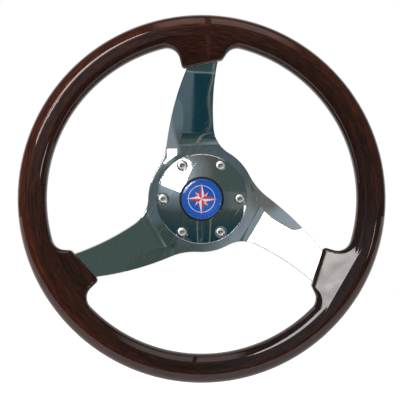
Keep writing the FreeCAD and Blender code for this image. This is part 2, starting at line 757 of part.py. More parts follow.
def make_room_ahead():
    """Room in front of the glue line: a plane in the rim, sloped with the spoke in a wing."""
    body = new_body("room_ahead")
    disc = face_sketch(body, "glue_plane", RIM_MIDDLE)
    circle(disc, "Sizes.rim_diameter")
    padded(body, disc, "ahead_of_rim", "Sizes.rim_depth")
    section = section_sketch(body, "glue_slope")
    outline(
        section,
        [
            (RIM_MIDDLE, TIP_BEND),
            (f"{RIM_MIDDLE} - ({TIP_BEND} - {WING_LOW}) * tan({SPOKE_SLOPE})", WING_LOW),
            (RIM_FRONT, WING_LOW),
            (RIM_FRONT, TIP_BEND),
        ],
    )
    width = "2 * (Sizes.wing_left_across + Sizes.wing_left_length)"
    wedge = padded(body, section, "ahead_of_spoke", width, "Symmetric")
    around_axis(body, [wedge], disc, "ahead_of_spokes", str(len(SPOKE_TURNS)))
    return body


def make_hub_ring():
    """Domed trim ring that clamps the spider to the boss, with seats for the six screws."""
    body = new_body("hub_ring")
    section = section_sketch(body, "ring_section")
    bore_edge = "(Sizes.trim_bore_radius + Sizes.trim_chamfer)"
    outer_edge = f"({TRIM_OUTER} - Sizes.trim_chamfer)"
    outline(
        section,
        [
            (DISC_FRONT, "Sizes.trim_bore_radius"),
            (f"{TRIM_CREST} - Sizes.trim_chamfer", "Sizes.trim_bore_radius"),
            (dome_at(bore_edge), bore_edge, "Sizes.trim_dome_radius", -1),
            (dome_at(outer_edge), outer_edge),
            (f"{DISC_FRONT} + Sizes.trim_edge_thickness - Sizes.trim_chamfer", TRIM_OUTER),
            (DISC_FRONT, TRIM_OUTER),
        ],
    )
    turned(body, section, "ring_turning")

    seat = level_sketch(body, "screw_seat")
    axis = "Sizes.screw_circle_radius"
    hole = "(Sizes.screw_radius + Sizes.screw_clearance)"
    outline(
        seat,
        [
            (axis, DISC_BACK),
            (f"{axis} + {hole}", DISC_BACK),
            (f"{axis} + {hole}", f"{HEAD_TOP} - (Sizes.screw_head_radius - {hole})"),
            (f"{axis} + Sizes.screw_head_radius", HEAD_TOP),
            (f"{axis} + Sizes.screw_recess_radius", HEAD_TOP),
            (f"{axis} + Sizes.screw_recess_radius", CAP_FACE),
            (axis, CAP_FACE),
        ],
    )
    groove = body.newObject("PartDesign::Groove", "screw_seat_cut")
    groove.Profile = seat
    groove.ReferenceAxis = (seat, [screw_axis(seat)])
    groove.Angle = 360
    around_axis(body, [groove], seat, "screw_seats", "Sizes.screw_count", "V_Axis")
    return body


def dome_at(radius):
    """How far forward the ring's dome stands at a radius."""
    return f"({DOME_CENTRE} + sqrt(Sizes.trim_dome_radius ^ 2 - {radius} ^ 2))"


def screw_axis(sketch):
    """Construction line along one screw, as the first extra axis of a level sketch."""
    ends = [FreeCAD.Vector(number("Sizes.screw_circle_radius"), number(place), 0)
            for place in (SHANK_END, HEAD_TOP)]
    line = sketch.addGeometry(Part.LineSegment(*ends), True)
    pin(sketch, line, 1, "Sizes.screw_circle_radius", SHANK_END)
    pin(sketch, line, 2, "Sizes.screw_circle_radius", HEAD_TOP)
    return "Axis0"


def make_ring_screws():
    """Six countersunk machine screws with hexagon sockets."""
    body = new_body("ring_screws")
    section = level_sketch(body, "screw_section")
    axis = "Sizes.screw_circle_radius"
    outline(
        section,
        [
            (axis, SHANK_END),
            (f"{axis} + Sizes.screw_radius - Sizes.screw_point", SHANK_END),
            (f"{axis} + Sizes.screw_radius", f"{SHANK_END} + Sizes.screw_point"),
            (f"{axis} + Sizes.screw_radius", f"{HEAD_TOP} - {HEAD_DEPTH}"),
            (f"{axis} + Sizes.screw_head_radius", HEAD_TOP),
            (axis, HEAD_TOP),
        ],
    )
    blank = body.newObject("PartDesign::Revolution", "screw_turning")
    blank.Profile = section
    blank.ReferenceAxis = (section, [screw_axis(section)])
    blank.Angle = 360
    socket = face_sketch(body, "socket_outline", HEAD_TOP)
    corner = "Sizes.screw_socket_flats / (2 * cos(30))"
    outline(
        socket,
        [(f"{axis} + {corner} * cos({turn})", f"{corner} * sin({turn})")
         for turn in range(0, 360, 60)],
    )
    cut = body.newObject("PartDesign::Pocket", "socket")
    cut.Profile = socket
    cut.setExpression("Length", "Sizes.screw_socket_depth")
    around_axis(body, [blank, cut], section, "screws", "Sizes.screw_count", "V_Axis")
    return body


def make_centre_cap():
    """Moulded cap: a cup with a recess for the badge in front and a groove for its O-ring."""
    body = new_body("centre_cap")
    section = section_sketch(body, "cap_section")
    recess = f"({BADGE_RADIUS} + Sizes.badge_fit)"
    groove_half = "(Sizes.cord_section_radius + Sizes.cord_side_room)"
    groove_floor = f"({CORD_RING_RADIUS} - Sizes.cord_section_radius)"
    inside = f"({CAP_FACE} - Sizes.cap_face_thickness)"
    skirt_end = f"({CAP_ROOM_FLOOR} + Sizes.cap_clearance)"
    outline(
        section,
        [
            (LABEL_BACK, "0"),
            (LABEL_BACK, recess),
            (CAP_FACE, recess),
            (CAP_FACE, f"{CAP_RADIUS} - Sizes.cap_rim_round", "Sizes.cap_rim_round", -1),
            (f"{CAP_FACE} - Sizes.cap_rim_round", CAP_RADIUS),
            (f"{CORD_FORWARD} + {groove_half}", CAP_RADIUS),
            (f"{CORD_FORWARD} + {groove_half}", groove_floor),
            (f"{CORD_FORWARD} - {groove_half}", groove_floor),
            (f"{CORD_FORWARD} - {groove_half}", SKIRT_RADIUS),
            (skirt_end, SKIRT_RADIUS),
            (skirt_end, f"{SKIRT_RADIUS} - Sizes.cap_wall"),
            (inside, f"{SKIRT_RADIUS} - Sizes.cap_wall"),
            (inside, "0"),
        ],
    )
    turned(body, section, "cap_moulding")
    return body


def make_cap_o_ring():
    """Rubber ring in the cap's groove, which holds the cap in the trim ring by friction."""
    cord = doc.addObject("Part::Torus", "cap_o_ring")
    cord.Label = "cap_o_ring"
    cord.setExpression("Radius1", CORD_RING_RADIUS)
    cord.setExpression("Radius2", "Sizes.cord_section_radius")
    cord.Placement = FreeCAD.Placement(FreeCAD.Vector(), UPRIGHT)
    cord.setExpression("Placement.Base.y", f"-{CORD_FORWARD}")
    return cord


def make_badge_label():
    """Round printed disc on the floor of the cap's recess."""
    label = doc.addObject("Part::Cylinder", "badge_label")
    label.Label = "badge_label"
    label.setExpression("Radius", BADGE_RADIUS)
    label.setExpression("Height", "Sizes.label_thickness")
    label.Placement = FreeCAD.Placement(FreeCAD.Vector(), UPRIGHT)
    label.setExpression("Placement.Base.y", f"-{LABEL_BACK}")
    return label


def make_badge_dome():
    """Clear resin poured over the label: a flat crown with a tight shoulder all round."""
    body = new_body("badge_dome")
    section = section_sketch(body, "dome_section")
    shoulder = "Sizes.dome_shoulder_radius"
    crown = "Sizes.dome_crown_radius"
    edge = f"({DOME_BACK} + Sizes.dome_edge)"
    shoulder_out = f"({BADGE_RADIUS} - {shoulder})"
    centre = f"({edge} - sqrt(({crown} - {shoulder}) ^ 2 - {shoulder_out} ^ 2))"
    reach = f"({crown} / ({crown} - {shoulder}))"
    outline(
        section,
        [
            (DOME_BACK, "0"),
            (f"{centre} + {crown}", "0", crown, -1),
            (
                f"{centre} + ({edge} - {centre}) * {reach}",
                f"{shoulder_out} * {reach}",
                shoulder,
                -1,
            ),
            (edge, BADGE_RADIUS),
            (DOME_BACK, BADGE_RADIUS),
        ],
    )
    turned(body, section, "dome_casting")
    return body


make_hub_boss()
make_rim_halves(make_spider(), make_rim_core_ring())
make_hub_ring()
make_ring_screws()
make_centre_cap()
make_cap_o_ring()
make_badge_label()
make_badge_dome()
doc.recompute()

for thing in doc.Objects:
    faults = [word for word in thing.State if word in ("Invalid", "Error")]
    if faults:
        raise RuntimeError(f"{thing.Label} is {faults[0]}")

PIECES = (
    "spider",
    "rim_core_ring",
    "rim_front_half",
    "rim_back_half",
    "hub_ring",
    "ring_screws",
    "hub_boss",
    "centre_cap",
    "cap_o_ring",
    "badge_label",
    "badge_dome",
)
shapes = {label: doc.getObjectsByLabel(label)[0].Shape for label in PIECES}
for label, shape in shapes.items():
    if shape.isNull() or not shape.isValid():
        raise RuntimeError(f"{label} has no valid shape")
    print(label, len(shape.Solids), "solids,", round(shape.Volume), "mm3")

os.makedirs("parts", exist_ok=True)
for label, shape in shapes.items():
    shape.exportStep(f"parts/{label}.step")
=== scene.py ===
"""Boat steering wheel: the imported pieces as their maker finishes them, in a plain studio.

Metres, in the wheel's own frame: +Z is up, the front faces -Y, and the origin is where the
shaft enters the boss. The sections follow the order in which the wheel is put together.
"""

import math

import bmesh
import bpy
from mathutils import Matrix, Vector


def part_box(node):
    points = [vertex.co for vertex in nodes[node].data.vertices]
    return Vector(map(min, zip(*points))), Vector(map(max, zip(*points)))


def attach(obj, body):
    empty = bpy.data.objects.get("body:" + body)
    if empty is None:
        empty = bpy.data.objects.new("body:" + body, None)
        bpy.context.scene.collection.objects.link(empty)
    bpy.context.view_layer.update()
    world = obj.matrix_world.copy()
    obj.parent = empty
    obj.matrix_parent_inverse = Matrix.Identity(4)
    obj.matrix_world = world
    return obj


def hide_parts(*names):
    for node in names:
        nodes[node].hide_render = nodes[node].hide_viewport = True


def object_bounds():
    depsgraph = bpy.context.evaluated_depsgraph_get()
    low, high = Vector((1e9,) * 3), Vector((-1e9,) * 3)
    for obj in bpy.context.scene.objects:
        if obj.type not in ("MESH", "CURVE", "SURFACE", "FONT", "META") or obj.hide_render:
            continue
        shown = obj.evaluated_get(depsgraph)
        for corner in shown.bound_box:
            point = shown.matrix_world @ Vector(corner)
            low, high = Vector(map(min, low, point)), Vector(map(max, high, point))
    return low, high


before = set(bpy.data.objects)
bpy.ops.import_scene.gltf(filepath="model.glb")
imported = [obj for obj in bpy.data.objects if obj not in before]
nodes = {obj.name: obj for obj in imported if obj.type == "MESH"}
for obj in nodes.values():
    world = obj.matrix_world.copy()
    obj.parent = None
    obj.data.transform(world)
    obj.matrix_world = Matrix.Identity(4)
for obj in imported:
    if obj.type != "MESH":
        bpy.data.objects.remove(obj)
cad_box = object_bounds()
scene = bpy.context.scene
scene.view_settings.view_transform = "Standard"

# Camera: straight in front with a long lens, as far away as the perspective of the rim
# and the hub says. The frame is 400 pixels wide, and the rim's centre is close to its middle.
RIM_PLANE = -0.0785
CAMERA_DISTANCE = 1.86
FRAME_PIXELS = 400.0
RIM_RADIUS_PIXELS = 184.0
RIM_CENTRE_PIXELS = (201.6, 198.9)
SENSOR_WIDTH = 36.0
rim_radius = cad_box[1][2]
pixel = rim_radius / RIM_RADIUS_PIXELS
lens = bpy.data.cameras.new("camera")
lens.sensor_width = SENSOR_WIDTH
lens.lens = SENSOR_WIDTH * CAMERA_DISTANCE / (pixel * FRAME_PIXELS)
lens.clip_end = 50.0
camera = bpy.data.objects.new("camera", lens)
camera.location = (
    (FRAME_PIXELS / 2 - RIM_CENTRE_PIXELS[0]) * pixel,
    RIM_PLANE - CAMERA_DISTANCE,
    (RIM_CENTRE_PIXELS[1] - FRAME_PIXELS / 2) * pixel,
)
camera.rotation_euler = (math.radians(90), 0, 0)
scene.collection.objects.link(camera)
scene.camera = camera

# Spider: one stainless plate with a round centre and three skewed spokes, cut out, folded
# and mirror polished. Its edges are eased with a file first, so they carry a line of light.
SHARP = math.radians(30)
FLAT = math.radians(0.05)
WELD = 1e-6
EDGE_EASE = 0.0009
STEEL_SHADES = ((0.30, (0.585, 0.595, 0.585)), (0.70, (0.655, 0.665, 0.655)))
HAZE_SPAN = (0.35, 0.70)
HAZE_ROUGHNESS = (0.010, 0.030)
MOP_LINES = (1500.0, 300.0, 30.0)
MOP_DEPTH = 0.000001
SCRATCH_LINES = (2200.0, 200.0, 60.0)
SCRATCH_SLANT = -0.6
SCRATCH_RARITY = (0.74, 0.82)
SCRATCH_ROUGHNESS = 0.25
# The spokes point up, to the lower left and to the lower right.
SPOKE_SPACING = math.radians(120)
FIRST_SPOKE = math.radians(-30)
# The press marks only faces that point forward by more than this, with soft creases.
FRONT_FACING = 0.8
CREASE = 0.0005
# It leaves one side of each spoke's root level: metres along the spoke, from where to where
# and how softly it fades, past a line beside the spoke that swings away at both ends.
LEVEL_ALONG = (0.050, 0.120, 0.0001)
LEVEL_ASIDE = 0.0175
LEVEL_NORMAL = (0.0, -1.0, 0.0)
OUTER_SWING = 70.0
OUTER_SWING_START = 0.088
INNER_SWING = 14.0
INNER_SWING_START = 0.073
# The disc's edge rolls over next to it, in a patch that widens towards the axis. It ends at
# a heading from the spoke, in radians, with how softly it fades there.
ROLL = math.radians(18)
ROLL_FROM_AXIS = 0.0491
ROLL_ALONG = 0.0478
ROLL_ASIDE = (0.0242, 0.0327)
ROLL_WIDENING = 0.8
ROLL_WIDENING_START = 0.0394
ROLL_HEADING = (0.80, 0.02)


def round_edges(form, ease, clamp, nearest=-math.inf, farthest=math.inf):
    """Round the sharp edges that lie between two distances from the axis."""
    sharp = [
        edge for edge in form.edges
        if edge.calc_face_angle(0) > SHARP
        and nearest < math.hypot(edge.verts[0].co.x, edge.verts[0].co.z) <= farthest
    ]
    bmesh.ops.bevel(
        form, geom=sharp, offset=ease, offset_type="OFFSET", affect="EDGES",
        segments=3, profile=0.5, material=-1, clamp_overlap=clamp,
    )


def new_piece(name, form):
    """Object in the scene, made from a finished form."""
    mesh = bpy.data.meshes.new(name)
    form.to_mesh(mesh)
    form.free()
    piece = bpy.data.objects.new(name, mesh)
    scene.collection.objects.link(piece)
    return piece


def eased_copy(name, ease, piece_name, clamp=True, split=math.inf, outer_ease=0.0):
    """Copy of a node with its sharp edges rounded, which stands for the node.

    Beyond a distance from the axis the edges may have a rounding of their own.
    """
    form = bmesh.new()
    form.from_mesh(nodes[name].data)
    bmesh.ops.remove_doubles(form, verts=form.verts, dist=WELD)
    bmesh.ops.dissolve_limit(form, angle_limit=FLAT, verts=form.verts, edges=form.edges)
    if outer_ease:
        round_edges(form, outer_ease, clamp=False, nearest=split)
    round_edges(form, ease, clamp, farthest=split)
    for face in form.faces:
        face.smooth = True
    piece = new_piece(piece_name, form)
    evened = piece.modifiers.new("evened", "WEIGHTED_NORMAL")
    evened.weight = 100
    evened.keep_sharp = True
    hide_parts(name)
    return piece


def new_finish(name):
    """Empty finish: its material, its node tree and its shader."""
    finish = bpy.data.materials.new(name)
    finish.use_nodes = True
    return finish, finish.node_tree, finish.node_tree.nodes["Principled BSDF"]


def add(tree, kind, sockets=None, **settings):
    """One node, with numbers set on its sockets and other nodes' outputs linked to them."""
    node = tree.nodes.new(f"ShaderNode{kind}")
    for setting, choice in settings.items():
        setattr(node, setting, choice)
    for socket, source in (sockets or {}).items():
        if isinstance(source, bpy.types.NodeSocket):
            tree.links.new(source, node.inputs[socket])
        else:
            node.inputs[socket].default_value = source
    return node


def give(tree, shader, **sources):
    """Link outputs to the shader's sockets, whose names are written with underscores."""
    for socket, source in sources.items():
        tree.links.new(source, shader.inputs[socket.replace("_", " ")])


def wear(piece, finish):
    """Put a finish on every slot of a piece."""
    if not piece.material_slots:
        piece.data.materials.append(finish)
    for slot in piece.material_slots:
        slot.material = finish


def maths(tree, operation, *values):
    """Number that an operation makes of other numbers."""
    return add(tree, "Math", dict(enumerate(values)), operation=operation).outputs[0]


def product(tree, first, *others):
    """All the numbers multiplied."""
    for other in others:
        first = maths(tree, "MULTIPLY", first, other)
    return first


def past(tree, value, start):
    """How far a value is past a start, and 0 before it."""
    return maths(tree, "MAXIMUM", maths(tree, "SUBTRACT", value, start), 0.0)


def vectors(tree, operation, *values):
    """Vector that an operation makes of other vectors."""
    return add(tree, "VectorMath", dict(enumerate(values)), operation=operation).outputs[0]


def measure(tree, operation, *values):
    """Number that an operation measures on vectors, such as a length."""
    node = add(tree, "VectorMath", dict(enumerate(values)), operation=operation)
    return node.outputs["Value"]


def spread(tree, value, low, high, start=0.0, end=1.0):
    """Carry a value from one span over to another, and stop at its ends."""
    return add(
        tree, "MapRange",
        {"Value": value, "From Min": low, "From Max": high, "To Min": start, "To Max": end},
    ).outputs[0]


def over(tree, value, low, soft):
    """1 from a value upwards and 0 below it, with a soft start."""
    return add(
        tree, "MapRange", {"Value": value, "From Min": low - soft, "From Max": low},
        interpolation_type="SMOOTHSTEP",
    ).outputs[0]


def under(tree, value, high, soft):
    """1 up to a value and 0 above it, with a soft end."""
    return add(
        tree, "MapRange",
        {"Value": value, "From Min": high, "From Max": high + soft, "To Min": 1.0, "To Max": 0.0},
        interpolation_type="SMOOTHSTEP",
    ).outputs[0]


def between(tree, value, low, high, soft):
    """1 between two values and 0 outside them, with soft ends."""
    return product(tree, over(tree, value, low, soft), under(tree, value, high, soft))


def ramp(tree, source, *stops):
    """Colour ramp over a source, from stops of (place, colour)."""
    shades = add(tree, "ValToRGB", {"Fac": source})
    elements = shades.color_ramp.elements
    while len(elements) < len(stops):
        elements.new(0.5)
    for element, (place, colour) in zip(elements, stops):
        element.position = place
        element.color = (*colour, 1)
    return shades.outputs["Color"]


def on_piece(tree):
    """Place on the piece, in the wheel's frame."""
    return add(tree, "TexCoord").outputs["Object"]


def noise(tree, place, scale, detail, distortion=0.0):
    """Cloudy pattern laid on a place."""
    return add(
        tree, "TexNoise",
        {"Vector": place, "Scale": scale, "Detail": detail, "Distortion": distortion},
    ).outputs["Fac"]


def relief(tree, height, strength=1.0, distance=1.0, **under_it):
    """Normal of a surface with a height on it, over another normal where one is given."""
    sockets = {"Height": height, "Strength": strength, "Distance": distance, **under_it}
    return add(tree, "Bump", sockets).outputs[0]


def flattened(tree, spot):
    """Place seen along the axis: metres to the right and up."""
    parts = add(tree, "SeparateXYZ", {0: spot})
    return add(tree, "CombineXYZ", {0: parts.outputs["X"], 1: parts.outputs["Z"]}).outputs[0]


def from_axis(tree, spot):
    """Distance of a place from the wheel's axis."""
    return measure(tree, "LENGTH", flattened(tree, spot))


def from_nearest(tree, spot, first, spacing):
    """Place as seen from the nearest of several things that are evenly turned about the axis.

    First its heading from theirs, in radians, then how far it lies along theirs and aside.
    """
    parts = add(tree, "SeparateXYZ", {0: spot})
    heading = maths(tree, "ARCTAN2", parts.outputs["Z"], parts.outputs["X"])
    heading = maths(tree, "ADD", heading, spacing / 2 - first + 2 * math.pi)
    heading = maths(tree, "SUBTRACT", maths(tree, "MODULO", heading, spacing), spacing / 2)
    out = from_axis(tree, spot)
    along = product(tree, out, maths(tree, "COSINE", heading))
    aside = product(tree, out, maths(tree, "SINE", heading))
    return heading, along, aside


def level_side(tree, along, aside):
    """Where one side of a spoke's root stays level with the disc."""
    outer = past(tree, along, OUTER_SWING_START)
    inner = past(tree, INNER_SWING_START, along)
    line = maths(tree, "MULTIPLY_ADD", product(tree, outer, outer), OUTER_SWING, LEVEL_ASIDE)
    line = maths(tree, "MULTIPLY_ADD", product(tree, inner, inner), INNER_SWING, line)
    return product(
        tree, over(tree, maths(tree, "SUBTRACT", aside, line), 0.0, CREASE),
        between(tree, along, *LEVEL_ALONG),
    )


def rolled_edge(tree, spot, heading, along, aside):
    """Where the disc's edge rolls over beside the level part."""
    widening = past(tree, ROLL_WIDENING_START, along)
    narrowed = maths(tree, "MULTIPLY_ADD", widening, -ROLL_WIDENING, aside)
    return product(
        tree, under(tree, along, ROLL_ALONG, CREASE), under(tree, narrowed, ROLL_ASIDE[1], CREASE),
        over(tree, aside, ROLL_ASIDE[0], CREASE),
        over(tree, from_axis(tree, spot), ROLL_FROM_AXIS, CREASE),
        under(tree, heading, *ROLL_HEADING),
    )


def pressed_normal(tree):
    """Normal of the polished plate, with what the press does beside each spoke's root."""
    place = add(tree, "TexCoord")
    spot = place.outputs["Object"]
    heading, along, aside = from_nearest(tree, spot, FIRST_SPOKE, SPOKE_SPACING)
    facing = add(tree, "SeparateXYZ", {0: place.outputs["Normal"]}).outputs["Y"]
    front = maths(tree, "LESS_THAN", facing, -FRONT_FACING)
    level = product(tree, level_side(tree, along, aside), front)
    rolled = product(tree, rolled_edge(tree, spot, heading, along, aside), front)
    outward = vectors(tree, "NORMALIZE", vectors(tree, "MULTIPLY", spot, (1.0, 0.0, 1.0)))
    outward = vectors(
        tree, "MULTIPLY_ADD", outward, (math.sin(ROLL),) * 3, (0.0, -math.cos(ROLL), 0.0)
    )
    normal = add(tree, "NewGeometry").outputs["Normal"]
    for part, way in ((level, LEVEL_NORMAL), (rolled, outward)):
        turned = add(
            tree, "VectorTransform", {0: way},
            vector_type="NORMAL", convert_from="OBJECT", convert_to="WORLD",
        ).outputs[0]
        normal = add(tree, "Mix", {0: part, 4: normal, 5: turned}, data_type="VECTOR").outputs[1]
    return vectors(tree, "NORMALIZE", normal)


def polished_steel():
    """Mirror polish over stainless: a breath of haze, mop lines and a few stray scratches."""
    finish, tree, shader = new_finish("mirror_polish")
    shader.inputs["Metallic"].default_value = 1.0
    spot = on_piece(tree)
    mopped = add(tree, "Mapping", {"Vector": spot, "Scale": MOP_LINES}).outputs[0]
    lines = noise(tree, mopped, scale=1.0, detail=3.0)
    slanted = add(
        tree, "VectorRotate", {"Vector": spot, "Angle": SCRATCH_SLANT}, rotation_type="Y_AXIS"
    ).outputs[0]
    slanted = add(tree, "Mapping", {"Vector": slanted, "Scale": SCRATCH_LINES}).outputs[0]
    scratch = spread(tree, noise(tree, slanted, scale=1.0, detail=0.0), *SCRATCH_RARITY)
    haze = noise(tree, spot, scale=22.0, detail=4.0)
    haze = spread(tree, haze, *HAZE_SPAN, *HAZE_ROUGHNESS)
    rough = maths(tree, "MULTIPLY_ADD", scratch, SCRATCH_ROUGHNESS, haze)
    normal = relief(tree, lines, strength=0.6, distance=MOP_DEPTH, Normal=pressed_normal(tree))
    give(tree, shader, Base_Color=ramp(tree, lines, *STEEL_SHADES), Roughness=rough, Normal=normal)
    return finish


mirror = polished_steel()
spider = eased_copy("spider", EDGE_EASE, "polished_spider", clamp=False)
wear(spider, mirror)
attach(spider, "wheel")

# Core ring: flat bar rolled to a ring and welded to the three tongues inside the wood.
# Nobody sees it again, so it keeps its mill scale.
SCALE_SHADES = ((0.35, (0.16, 0.15, 0.15)), (0.62, (0.50, 0.50, 0.50)))
SCALE_ROUGHNESS = (0.60, 0.35)


def mill_scale():
    """Hot rolled bar: dull grey with darker patches of scale."""
    finish, tree, shader = new_finish("mill_scale")
    shader.inputs["Metallic"].default_value = 0.85
    patches = noise(tree, on_piece(tree), scale=90.0, detail=6.0)
    rough = spread(tree, patches, 0.0, 1.0, *SCALE_ROUGHNESS)
    give(tree, shader, Base_Color=ramp(tree, patches, *SCALE_SHADES), Roughness=rough)
    return finish


wear(nodes["rim_core_ring"], mill_scale())

# Rim: two mahogany rings, glued face to face over the steel, turned and carved together
# with their three wings, stained dark and built up with clear gloss lacquer.
RIM_MIDDLE_RADIUS = 0.161
# Stain on the broad bands and on the streaks. Tones multiply it across the fibres. Painted
# light multiplies it too: the wood is lighter from the crest outwards, and from the lower
# right to the upper left, as where the soft light falls.
BAND_STAIN = (
    (0.32, (0.011, 0.0047, 0.0038)), (0.52, (0.021, 0.0077, 0.0054)),
    (0.72, (0.041, 0.0128, 0.0074)),
)
STREAK_STAIN = (
    (0.36, (0.008, 0.0038, 0.0032)), (0.50, (0.020, 0.0074, 0.0052)),
    (0.68, (0.064, 0.0175, 0.0086)),
)
STREAK_SHARE = 0.55
FIBRE_TONES = ((0.30, (0.62, 0.62, 0.62)), (0.70, (1.35, 1.30, 1.25)))
OUTWARD_PAINTED_LIGHT = ((0.10, (0.92, 0.96, 1.00)), (0.65, (1.75, 1.50, 1.30)))
UPPER_LEFT_PAINTED_LIGHT = ((0.0, (0.88, 0.86, 0.88)), (1.0, (1.50, 1.22, 0.95)))
UPPER_LEFT_LIGHT_REACH = 0.20
PORE_BLACK = (0.006, 0.004, 0.004, 1)
PORE_RARITY = (0.66, 0.72)
LACQUER_ROUGHNESS = 0.02
LACQUER_SWELL = 0.000004
# Line of the wings' inner ends, how far and how strongly they are sanded round, and how far
# aside and inward a wing reaches, beyond which nothing is sanded.
WING_END = 0.1276
WING_END_SKEW = 0.216
WING_ROUNDING = 0.0042
WING_ROUNDNESS = 55.0
WING_HALF_WIDTH = 0.034
WING_INNERMOST = 0.110
WING_FADE = 0.001
# The rim's crest is sanded flatter, and rounder outside it.
CREST_SWEEP = 0.0090
CREST_HEIGHT = 0.000130


def grain_noise(tree, across, along, detail, distortion=0.0):
    """Noise in the wood: fine across the grain, long around the rim.

    The direction from the axis is a point on a circle, so the pattern has no seam. The
    distance from the axis is the third coordinate and the depth is the fourth.
    """
    spot = on_piece(tree)
    flat = flattened(tree, spot)
    heading = vectors(tree, "NORMALIZE", flat)
    ring = vectors(tree, "MULTIPLY", heading, (RIM_MIDDLE_RADIUS / along,) * 3)
    steps = product(tree, measure(tree, "LENGTH", flat), 1 / across)
    place = vectors(tree, "ADD", ring, add(tree, "CombineXYZ", {2: steps}).outputs[0])
    depth = product(tree, add(tree, "SeparateXYZ", {0: spot}).outputs["Y"], 1 / across)
    return add(
        tree, "TexNoise",
        {"Vector": place, "W": depth, "Scale": 1.0, "Detail": detail, "Distortion": distortion},
        noise_dimensions="4D",
    ).outputs["Fac"]


def mixed(tree, factor, first, second, blend_type="MIX"):
    """Colour between two colours, or made of both."""
    return add(
        tree, "Mix", {0: factor, 6: first, 7: second}, data_type="RGBA", blend_type=blend_type
    ).outputs[2]


def stained_wood(tree, spot, beyond_crest):
    """Dark stained wood: broad bands, red streaks, fibres and short dark pores.

    Painted light makes it lighter outwards from the crest and towards the upper left.
    """
    bands = grain_noise(tree, across=0.006, along=0.07, detail=3.0)
    streaks = grain_noise(tree, across=0.0011, along=0.011, detail=4.0, distortion=0.4)
    fibres = grain_noise(tree, across=0.00035, along=0.009, detail=2.0)
    pores = grain_noise(tree, across=0.00022, along=0.0028, detail=1.0)
    wood = mixed(
        tree, STREAK_SHARE, ramp(tree, bands, *BAND_STAIN), ramp(tree, streaks, *STREAK_STAIN)
    )
    # Painted light: lighter from the crest outwards and towards the upper left, where the soft
    # light falls.
    outward = maths(tree, "DIVIDE", beyond_crest, CREST_SWEEP)
    parts = add(tree, "SeparateXYZ", {0: spot})
    up_left = maths(tree, "SUBTRACT", parts.outputs["Z"], parts.outputs["X"])
    upper_left_share = spread(tree, up_left, -UPPER_LEFT_LIGHT_REACH, UPPER_LEFT_LIGHT_REACH)
    for source, tones in ((fibres, FIBRE_TONES), (outward, OUTWARD_PAINTED_LIGHT), (upper_left_share, UPPER_LEFT_PAINTED_LIGHT)):
        wood = mixed(tree, 1.0, wood, ramp(tree, source, *tones), "MULTIPLY")
    return mixed(tree, spread(tree, pores, *PORE_RARITY), wood, PORE_BLACK)


def lacquer_height(tree, spot, beyond_crest):
    """Height of the lacquer: its swell, the wings' rounded ends and the sanded crest."""
    _, along, aside = from_nearest(tree, spot, FIRST_SPOKE, SPOKE_SPACING)
    skewed = maths(tree, "MULTIPLY_ADD", aside, WING_END_SKEW, along)
    inward = past(tree, WING_END + WING_ROUNDING, skewed)
    rounding = product(
        tree, inward, inward, -WING_ROUNDNESS,
        between(tree, aside, -WING_HALF_WIDTH, WING_HALF_WIDTH, WING_FADE),
        over(tree, along, WING_INNERMOST, WING_FADE),
    )
    swept = product(tree, beyond_crest, 2 * math.pi / CREST_SWEEP)
    crest = product(tree, maths(tree, "COSINE", swept), -CREST_HEIGHT)
    swell = noise(tree, spot, scale=120.0, detail=1.0)
    return maths(
        tree, "MULTIPLY_ADD", swell, LACQUER_SWELL, maths(tree, "ADD", rounding, crest)
    )


def lacquered_mahogany():
    """Dark stained wood under gloss lacquer, which alone carries the shine."""
    finish, tree, shader = new_finish("lacquered_mahogany")
    shader.inputs["Roughness"].default_value = 0.55
    shader.inputs["Specular IOR Level"].default_value = 0.0
    shader.inputs["Coat Weight"].default_value = 1.0
    shader.inputs["Coat Roughness"].default_value = LACQUER_ROUGHNESS
    shader.inputs["Coat IOR"].default_value = 1.5
    spot = on_piece(tree)
    beyond_crest = spread(
        tree, from_axis(tree, spot), RIM_MIDDLE_RADIUS, RIM_MIDDLE_RADIUS + CREST_SWEEP,
        end=CREST_SWEEP,
    )
    give(
        tree, shader, Base_Color=stained_wood(tree, spot, beyond_crest),
        Coat_Normal=relief(tree, lacquer_height(tree, spot, beyond_crest)),
    )
    return finish


mahogany = lacquered_mahogany()
for half in ("rim_front_half", "rim_back_half"):
    wear(nodes[half], mahogany)

# Boss: turned from aluminium bar, bored to the helm's taper, broached for its key, tapped
# for the ring's screws and satin anodised. It stands behind the spider.
ALLOY_SHADES = ((0.30, (0.56, 0.56, 0.57)), (0.70, (0.66, 0.66, 0.67)))
ALLOY_ROUGHNESS = (0.24, 0.38)
LATHE_RING_DEPTH = 0.000006
# Most of a noise's values lie in this span.
NOISE_SPAN = (0.3, 0.7)


def satin_alloy():
    """Anodised turning: satin grey with the fine rings that the lathe tool leaves."""
    finish, tree, shader = new_finish("satin_alloy")
    shader.inputs["Metallic"].default_value = 1.0
    spot = on_piece(tree)
    depth = add(tree, "SeparateXYZ", {0: spot}).outputs["Y"]
    turned = add(tree, "CombineXYZ", {0: from_axis(tree, spot), 1: depth}).outputs[0]
    rings = noise(tree, turned, scale=2600.0, detail=2.0)
    cloud = noise(tree, spot, scale=60.0, detail=4.0)
    give(
        tree, shader, Base_Color=ramp(tree, cloud, *ALLOY_SHADES),
        Roughness=spread(tree, rings, *NOISE_SPAN, *ALLOY_ROUGHNESS),
        Normal=relief(tree, rings, strength=0.7, distance=LATHE_RING_DEPTH),
    )
    return finish


wear(nodes["hub_boss"], satin_alloy())

# Trim ring: turned from stainless bar to a shallow dome and polished like the spider. It
# clamps the spider to the boss, with a countersunk seat for each of six screws.
RING_EASE = 0.0006
RING_OUTER_EASE = 0.0005
RING_EDGE = 0.042
ring = eased_copy(
    "hub_ring", RING_EASE, "domed_trim_ring", split=RING_EDGE, outer_ease=RING_OUTER_EASE
)
wear(ring, mirror)
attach(ring, "wheel")

